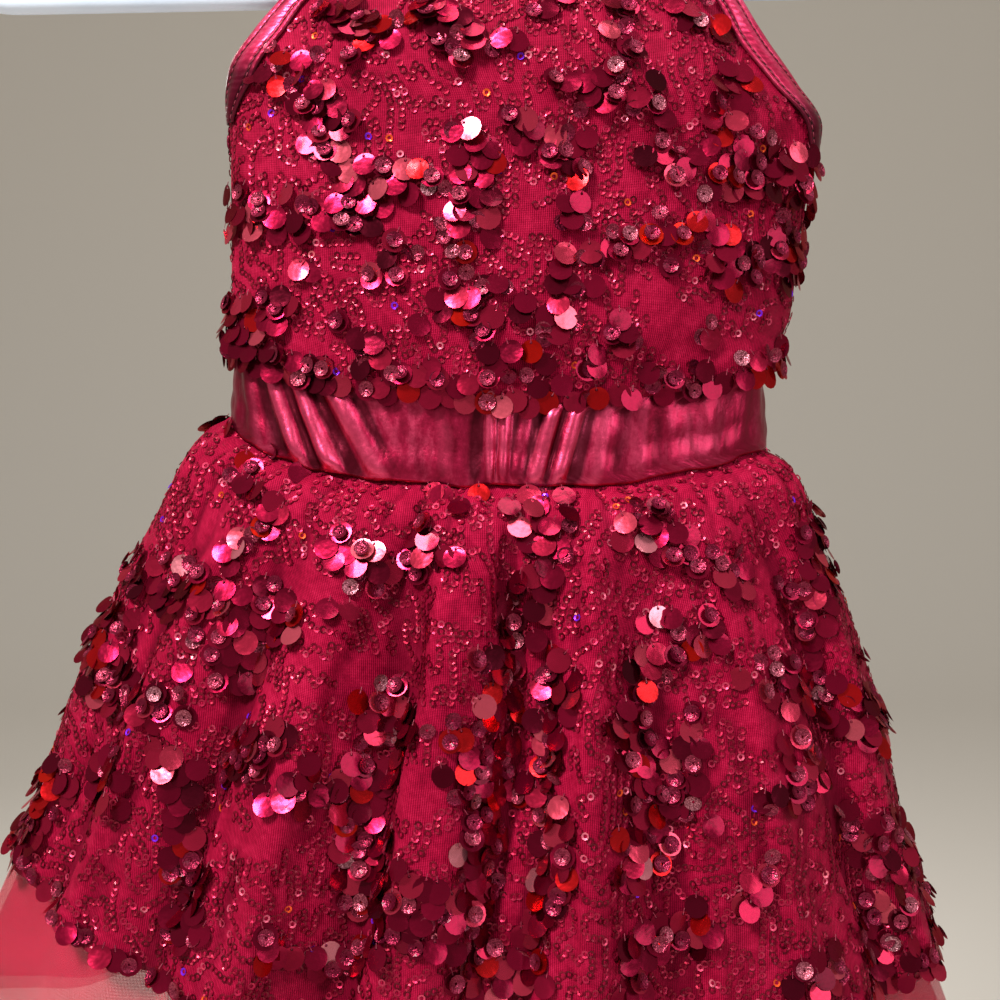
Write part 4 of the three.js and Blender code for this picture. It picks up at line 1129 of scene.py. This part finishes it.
# small ring sequins in chains
def sewRings(name, cloth, seed, chance, top, side, foot):
    wide, long = cloth["width"].max() + 12, cloth["height"] + 8
    line = evenly(wanderingLine(wide, long, sequins["linePitch"], seed, sequins["upright"]), sequins["ringPitch"])
    line = line[(hills(line[:, 0] / 13, line[:, 1] / 12, seed + 7) > -0.52) | (line[:, 1] < 30)]
    x, y = line.T
    inside = keepInside(cloth, x, y, top + 0.8, lambda v: side(v) + 1.5, foot + 1.4)
    step = np.roll(line, -1, 0) - line
    near = (np.linalg.norm(step, axis=1) < 6)[inside]
    x, y, step = x[inside], y[inside], step[inside]
    point, normal = onCloth(cloth, x, y)
    ahead = onCloth(cloth, x + step[:, 0] * 0.2, y + step[:, 1] * 0.2)[0]
    forward = np.where(near[:, None], ahead - point, gravity)
    turn, lean, roll = (chance.normal(middle, spread, len(x)) for middle, spread in sequins["ringLie"])
    axes = np.stack(lieOn(normal, forward + 1e-6, turn, lean, roll), 1)
    tones = withGlints(chance, chance.uniform(0, 0.82, len(x)), sequins["ringGlints"])
    point = point + normal * sequins["ringLift"]
    return scatter(name + "RingSequins", ringShape, point, axes, tones, ringShine, "sequin_cloth"), len(x)


# where the large sequins hang, in wavy clusters, the lowest first
def largeSites(name, cloth, seed, chance, top, side, foot):
    spacing, half = sequins["siteSpacing"], cloth["width"].max() / 2 + 4
    x, y = np.meshgrid(np.arange(-half, half, spacing), np.arange(0, cloth["height"] + 4, spacing * 0.92))
    x = x + (np.arange(x.shape[0]) % 2)[:, None] * spacing / 2
    x, y = (v.ravel() + chance.uniform(-1.5, 1.5, v.size) for v in (x, y))
    inside = keepInside(cloth, x, y, top + 1.5, lambda v: side(v) + 0.6, foot + 1.0)
    x, y = x[inside], y[inside]
    field = hills((x + y * 0.6) / 26, (y - x * 0.25) / 20, seed + 3) + 0.45 * hills(x / 9, y / 9, seed + 4)
    field = field + 0.25 * np.cos((x * 0.8 - y) / 15 + 2 * hills(x / 40, y / 40, seed + 5))
    if name.endswith("Front"):
        field = 0.35 * field + 1.4 * strandField(onCloth(cloth, x, y)[0])
    field = field + chance.uniform(-0.26, 0.26, len(x)) + sequins["hem"] * smooth(13, 5, cloth["height"] - y)
    if name.startswith("skirt"):
        field = field + 0.3 * smooth(16, 6, y)
    chosen = field > np.quantile(field, 1 - sequins["cover"])
    order = np.argsort(-y[chosen])
    return x[chosen][order], y[chosen][order]


def sewSequins(name, cloth, seed, *kept):
    chance = np.random.default_rng(seed)
    rings, ringCount = sewRings(name, cloth, seed, chance, *kept)
    x, y = largeSites(name, cloth, seed, chance, *kept)
    count = len(x)
    point, normal = onCloth(cloth, x, y)
    nearSeam = smooth(26, 6, y) if name.startswith("skirt") else 0 * y
    normal = unit(normal + 1.1 * nearSeam[:, None] * unit(normal * np.array([1, 1, 0])))
    cup = chance.random(count) < sequins["cupShare"]
    lean = np.radians(chance.uniform(*sequins["tilt"], count))
    turn = np.radians(chance.normal(0, sequins["swing"] / 1.6, count))
    roll = np.radians(chance.normal(0, sequins["twist"] / 1.4, count))
    down = gravity + 0 * normal
    forward, across, facing = lieOn(normal, down, turn, lean, roll)
    lift = 1.0 + chance.uniform(0, 0.9, count) + 1.8 * nearSeam
    axes = np.stack([across, -forward, facing], 1)
    axes[:, 0] = np.cross(axes[:, 1], axes[:, 2])
    tones = np.clip(chance.beta(1.6, 1.7, count) * 0.85, 0, 0.8)
    tones = withGlints(chance, tones, sequins["discGlints"])
    flat = ~cup
    places = point + normal * lift[:, None]
    sizes = chance.uniform(*sequins["sizes"], count)
    hung = (places[flat], axes[flat], tones[flat])
    large = scatter(name + "LargeSequins", discShape, *hung, discShine, "sequin_cloth", sizes[flat], True)
    threads = scatter(name + "SequinThreads", hangShape, *hung, sequinThread, "sequin_cloth")
    # cups: some take a site, others are sewn on top of a large one
    extra = flat & (chance.random(count) < sequins["onTop"])
    cupPlaces = np.concatenate([point[cup] + normal[cup] * 1.9, (places + forward * 3.4 + facing * 0.9)[extra]])
    spin = chance.uniform(0, 2 * np.pi, count)
    onMesh = lieOn(normal, down, spin, chance.normal(0, 0.3, count), chance.normal(0, 0.3, count))
    onDisc = lieOn(facing, forward, spin, chance.normal(0, 0.08, count), chance.normal(0, 0.08, count))
    cupAxes = np.concatenate([np.stack(onMesh, 1)[cup], np.stack(onDisc, 1)[extra]])
    sizes, tones = chance.uniform(0.92, 1.04, len(cupPlaces)), chance.beta(2, 1.6, len(cupPlaces))
    cups = scatter(name + "CupSequins", cupShape, cupPlaces, cupAxes, tones, cupShine, "sequin_cloth", sizes)
    print(name, ringCount, "rings", int(flat.sum()), "large", len(cupPlaces), "cups")
    return [rings, large, threads, cups]


# how far from each edge the sequins stop: top, sides and foot
margins = {"binding": 10, "armhole": 11.6, "side": 0.4, "hem": 0.4, "waist": 0.6, "skirtHem": 0.5}


def frontSide(y):
    depth = bodice["underarm"] - bodice["neckline"]
    return margins["armhole"] * (1 - smooth(depth - 8, depth + 6, y)) + margins["side"]


def otherSide(y):
    return margins["side"] + 0 * y


frontSequins = sewSequins("bodiceFront", frontCloth, 101, margins["binding"], frontSide, margins["hem"])
backSequins = sewSequins("bodiceBack", backCloth, 103, margins["binding"], otherSide, margins["hem"])
skirtSequins = {
    half: sewSequins(
        "skirt" + half.capitalize(), skirtCloths[half], seed, margins["waist"], otherSide, margins["skirtHem"])
    for half, seed in (("front", 107), ("back", 109))
}
print("sequins sewn")

# neck strap
hanger = {
    "radius": 4.5, "width": 419.0, "neckZ": -112.0, "barZ": -215.7, "endRadius": 17.0, "armSlope": 0.445,
    "hookRadius": 20.0, "hookTail": 215.0, "tilt": 1.06, "sides": 20, "stem": 25.0, "neckCurve": 16.0, "swell": 12.0,
}
strap = {
    "width": 9.6, "thickness": 2.8, "wrap": 0.4, "backY": 9.0, "backDip": 12.0, "armX": 37.0, "wall": 0.5,
    "inset": 3.95, "steps": 141, "aroundFlat": 22.0,
}


def tilted(points):
    turn = math.radians(-hanger["tilt"])
    x, y, z = np.moveaxis(np.asarray(points, float), -1, 0)
    return np.stack([x * math.cos(turn) + z * math.sin(turn), y, z * math.cos(turn) - x * math.sin(turn)], -1)


def armPoint(x):
    return tilted([x, 0, hanger["neckZ"] - hanger["armSlope"] * abs(x)])


def strapHalf(side):
    angles = np.linspace(90 * side, 0, fineness["row"])
    rowPoints = frontPoint(bodice["neckline"] + 0 * angles, angles)
    along = lengthAlong(rowPoints)
    onRow = lambda at: pointsAt(at, along, rowPoints)
    corner, edge = onRow(strap["inset"]), unit(onRow(0) - onRow(9))
    lower = frontPoint(np.array([bodice["neckline"] + 9.0]), np.array([90.0 * side]))[0]
    outward = unit(onRow(0) - lower)
    reach = hanger["radius"] + strap["wrap"] + strap["thickness"] / 2
    axis = armPoint(side * strap["armX"])
    arm = unit(armPoint(side * strap["armX"]) - armPoint(side * (strap["armX"] - 1)))
    back = np.array([0, 1.0, 0])
    up = unit(np.cross(arm, back)) * side
    stations = [(corner + outward * 0.45, -back, edge), (corner + outward * 9 + back, -back, arm)]
    for degrees in (-90, -60, -30, 0, 30, 60, 90):
        normal = up * cosine(degrees) + back * sine(degrees)
        stations.append((axis + normal * reach, normal, arm))
    for share, dip, turn in ((0.93, 0.42, 35), (0.75, 0.72, 62), (0.5, 0.9, 78), (0.25, 0.98, 86)):
        centre = np.array([axis[0] * share, strap["backY"], axis[2] - strap["backDip"] * dip])
        stations.append((centre, back, np.array([side * cosine(turn), 0, -sine(turn)])))
    return stations


left, right = strapHalf(-1), strapHalf(1)[::-1]
lowest = np.array([0, strap["backY"], (left[-1][0][2] + right[0][0][2]) / 2 - strap["backDip"] * 0.02])
middle = (lowest, np.array([0, 1.0, 0]), np.array([0, 0, -1.0]))
stations = [*left, middle, *right]


# points between stations, on a smooth line through them
def throughPoints(points, count):
    points = np.array(points)
    along = lengthAlong(points)
    tangent = np.gradient(points, along, axis=0)
    at = np.linspace(0, along[-1], count)
    i = np.clip(np.searchsorted(along, at, side="right") - 1, 0, len(along) - 2)
    width = (along[i + 1] - along[i])[:, None]
    s = ((at - along[i])[:, None]) / width
    return bend(s, width, points[i], points[i + 1], tangent[i], tangent[i + 1]), at, along


strapLine, strapAt, strapAlong = throughPoints([station[0] for station in stations], strap["steps"])
between = lambda which: unit(pointsAt(strapAt, strapAlong, np.array([station[which] for station in stations])))
strapFacing, strapAcross = between(1), between(2)
strapAcross = unit(strapAcross - strapFacing * (strapAcross * strapFacing).sum(-1, keepdims=True))
ring = np.linspace(0, 2 * np.pi, 25)
wide = strap["width"] / 2 * np.sign(np.cos(ring)) * abs(np.cos(ring)) ** 0.8
thick = (strap["thickness"] / 2 - 0.1) * np.sign(np.sin(ring)) * abs(np.sin(ring)) ** 0.8
strapPoints = strapLine[:, None] + strapAcross[:, None] * wide[:, None] + strapFacing[:, None] * thick[:, None]
strapCloth = {
    "points": strapPoints, "normals": None, "width": np.full(strap["steps"], strap["aroundFlat"]),
    "height": np.linalg.norm(np.diff(strapLine, axis=0), axis=1).sum(),
}
strapPiece = clothPiece("neckStrap", strapCloth, strap["wall"], bindingFoil, True, -1.0)
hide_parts("neck_strap")
print("strap made", round(strapCloth["height"]), "mm long")


# hanger
def bezier(a, control, b, steps):
    t = np.linspace(0, 1, steps, endpoint=False)[:, None]
    return (1 - t) ** 2 * a + 2 * t * (1 - t) * control + t**2 * b


def hangerLoop():
    half = hanger["width"] / 2 - hanger["radius"]
    armZ = lambda x: hanger["neckZ"] - hanger["armSlope"] * x
    at = lambda x, z: np.array([x, 0, z])
    flip = lambda p: p * np.array([-1, 1, 1])
    shoulder, barEnd = half - hanger["endRadius"] * 1.35, half - hanger["endRadius"]
    neck, top = at(9, armZ(9)), at(shoulder, armZ(shoulder))
    sideTop = at(half, armZ(half) + 2)
    side, bar = at(half, (sideTop[2] + hanger["barZ"]) / 2), at(barEnd, hanger["barZ"])
    straight = lambda a, b: bezier(a, (a + b) / 2, b, 12)
    return np.concatenate([
        straight(neck, top), bezier(top, sideTop, side, 14), bezier(side, at(half, hanger["barZ"]), bar, 14),
        straight(bar, flip(bar)), bezier(flip(bar), at(-half, hanger["barZ"]), flip(side), 14),
        bezier(flip(side), flip(sideTop), flip(top), 14), straight(flip(top), flip(neck)),
        bezier(flip(neck), at(0, hanger["neckZ"] + 1), neck, 8)])


def hookLine():
    centreZ = hanger["radius"] - hanger["hookRadius"]
    turn = np.radians(np.linspace(0, hanger["hookTail"], 40))
    arc = np.stack([hanger["hookRadius"] * np.cos(turn), 0 * turn, centreZ + hanger["hookRadius"] * np.sin(turn)], -1)
    stemTop = centreZ - hanger["hookRadius"] - hanger["neckCurve"]
    stem = [
        (0, 0, hanger["neckZ"]), (0, 0, hanger["neckZ"] + hanger["stem"]), (0, 0, stemTop), (2.5, 0, stemTop + 9),
        (hanger["hookRadius"] * 0.8, 0, centreZ - hanger["swell"])]
    line, _, _ = throughPoints(np.concatenate([stem, arc[:1]]), 34)
    return np.concatenate([line[:-1], arc])


# rings of a round bar, extruded one after another along a line
def barAlong(bm, line, radius, sides, closed):
    tangents = unit(np.roll(line, -1, 0) - np.roll(line, 1, 0)) if closed else unit(np.gradient(line, axis=0))
    turns = np.linspace(0, 2 * np.pi, sides, endpoint=False)
    ring = bmesh.ops.create_circle(bm, segments=sides, radius=radius / 1000)["verts"]
    edges = firstEdges = edgesOf(ring)
    for k, (centre, along) in enumerate(zip(line, tangents)):
        if k:
            made = bmesh.ops.extrude_edge_only(bm, edges=edges)["geom"]
            fresh = {g for g in made if isinstance(g, bmesh.types.BMVert)}
            edges = [g for g in made if isinstance(g, bmesh.types.BMEdge) and fresh.issuperset(g.verts)]
            ring = [next(e.other_vert(v) for e in v.link_edges if e.other_vert(v) in fresh) for v in ring]
        out = np.cross((0, 1, 0), along)
        for v, turn in zip(ring, turns):
            v.co = Vector((centre + radius * (out * math.cos(turn) + np.array([0, 1, 0]) * math.sin(turn))) / 1000)
    if closed:
        bmesh.ops.bridge_loops(bm, edges=edges + firstEdges)
    else:
        bmesh.ops.edgenet_fill(bm, edges=firstEdges)
        caps = bmesh.ops.edgenet_fill(bm, edges=edges)["faces"]
        rim = [e for f in caps for e in f.edges]
        bmesh.ops.bevel(bm, geom=rim, offset=0.0012, segments=3, profile=0.5, affect="EDGES", material=-1)


bm = bmesh.new()
barAlong(bm, tilted(hangerLoop()), hanger["radius"], hanger["sides"], True)
barAlong(bm, tilted(hookLine()), hanger["radius"] * 0.998, hanger["sides"], False)
bmesh.ops.recalc_face_normals(bm, faces=bm.faces)
hangerPiece = finishPiece("hangerTube", meshOf(bm, "hangerTube"), plastic)
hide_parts("hanger")
print("hanger made")

for half, pieces in skirtSequins.items():
    "waistband" + half.capitalize()
for name, piece in bindingPieces.items():
    panel = "bodiceBack" if name == "backBinding" else "bodiceFront"

# floor and light
stage = {
    "floorZ": -1.35, "halfWidth": 40.0, "front": -40.0, "wallY": 5.0, "wallTop": 7.0, "bend": 2.0, "bendSteps": 24,
    "colour": (0.82, 0.78, 0.72, 1),
}
bm = bmesh.new()
# one sheet: level in front, bent up behind
profile = [(stage["front"], stage["floorZ"]), (stage["wallY"] - stage["bend"], stage["floorZ"])]
for step in range(1, stage["bendSteps"] + 1):
    turn = math.radians(90 * step / stage["bendSteps"])
    back, up = stage["bend"] * (1 - math.sin(turn)), stage["bend"] * (1 - math.cos(turn))
    profile.append((stage["wallY"] - back, stage["floorZ"] + up))
profile.append((stage["wallY"], stage["wallTop"]))
line = [bm.verts.new((-stage["halfWidth"], y, z)) for y, z in profile]
edges = [bm.edges.new(pair) for pair in zip(line, line[1:])]
made = bmesh.ops.extrude_edge_only(bm, edges=edges)["geom"]
far = [v for v in made if isinstance(v, bmesh.types.BMVert)]
bmesh.ops.translate(bm, verts=far, vec=(2 * stage["halfWidth"], 0, 0))
bmesh.ops.recalc_face_normals(bm, faces=bm.faces)
floorMesh = meshOf(bm, "floor")
for face in floorMesh.polygons:
    face.use_smooth = True
floorFinish = Finish("pale floor")
floorMesh.materials.append(floorFinish.close({"Base Color": stage["colour"], "Roughness": 0.9}))
floor = bpy.data.objects.new("floor", floorMesh)
scene.collection.objects.link(floor)

lamps = table("name place size power colour", (
    ("key", (-0.72, -0.9, 0.72), 0.36, 40, (1.0, 0.97, 0.93)),
    ("fill", (1.2, -1.1, 0.3), 0.9, 9, (0.96, 0.97, 1.0)),
    ("top", (0.15, -0.2, 0.9), 0.5, 7, (1.0, 0.98, 0.96)),
    ("rear", (-0.4, 1.4, 0.5), 0.9, 12, (1.0, 0.98, 0.96)),
))
for lamp in lamps:
    data = bpy.data.lights.new(lamp["name"], "AREA")
    data.energy, data.size, data.color = lamp["power"], lamp["size"], lamp["colour"]
    light = bpy.data.objects.new(lamp["name"], data)
    light.location = lamp["place"]
    light.rotation_euler = (Vector((0, 0, -0.4)) - Vector(lamp["place"])).to_track_quat("-Z", "Y").to_euler()
    scene.collection.objects.link(light)

room = {"Color": (0.90, 0.85, 0.78, 1), "Strength": 0.4}
world = bpy.data.worlds.new("pale room")
world.use_nodes = True
for socket, value in room.items():
    world.node_tree.nodes["Background"].inputs[socket].default_value = value
scene.world = world
print("stage lit")
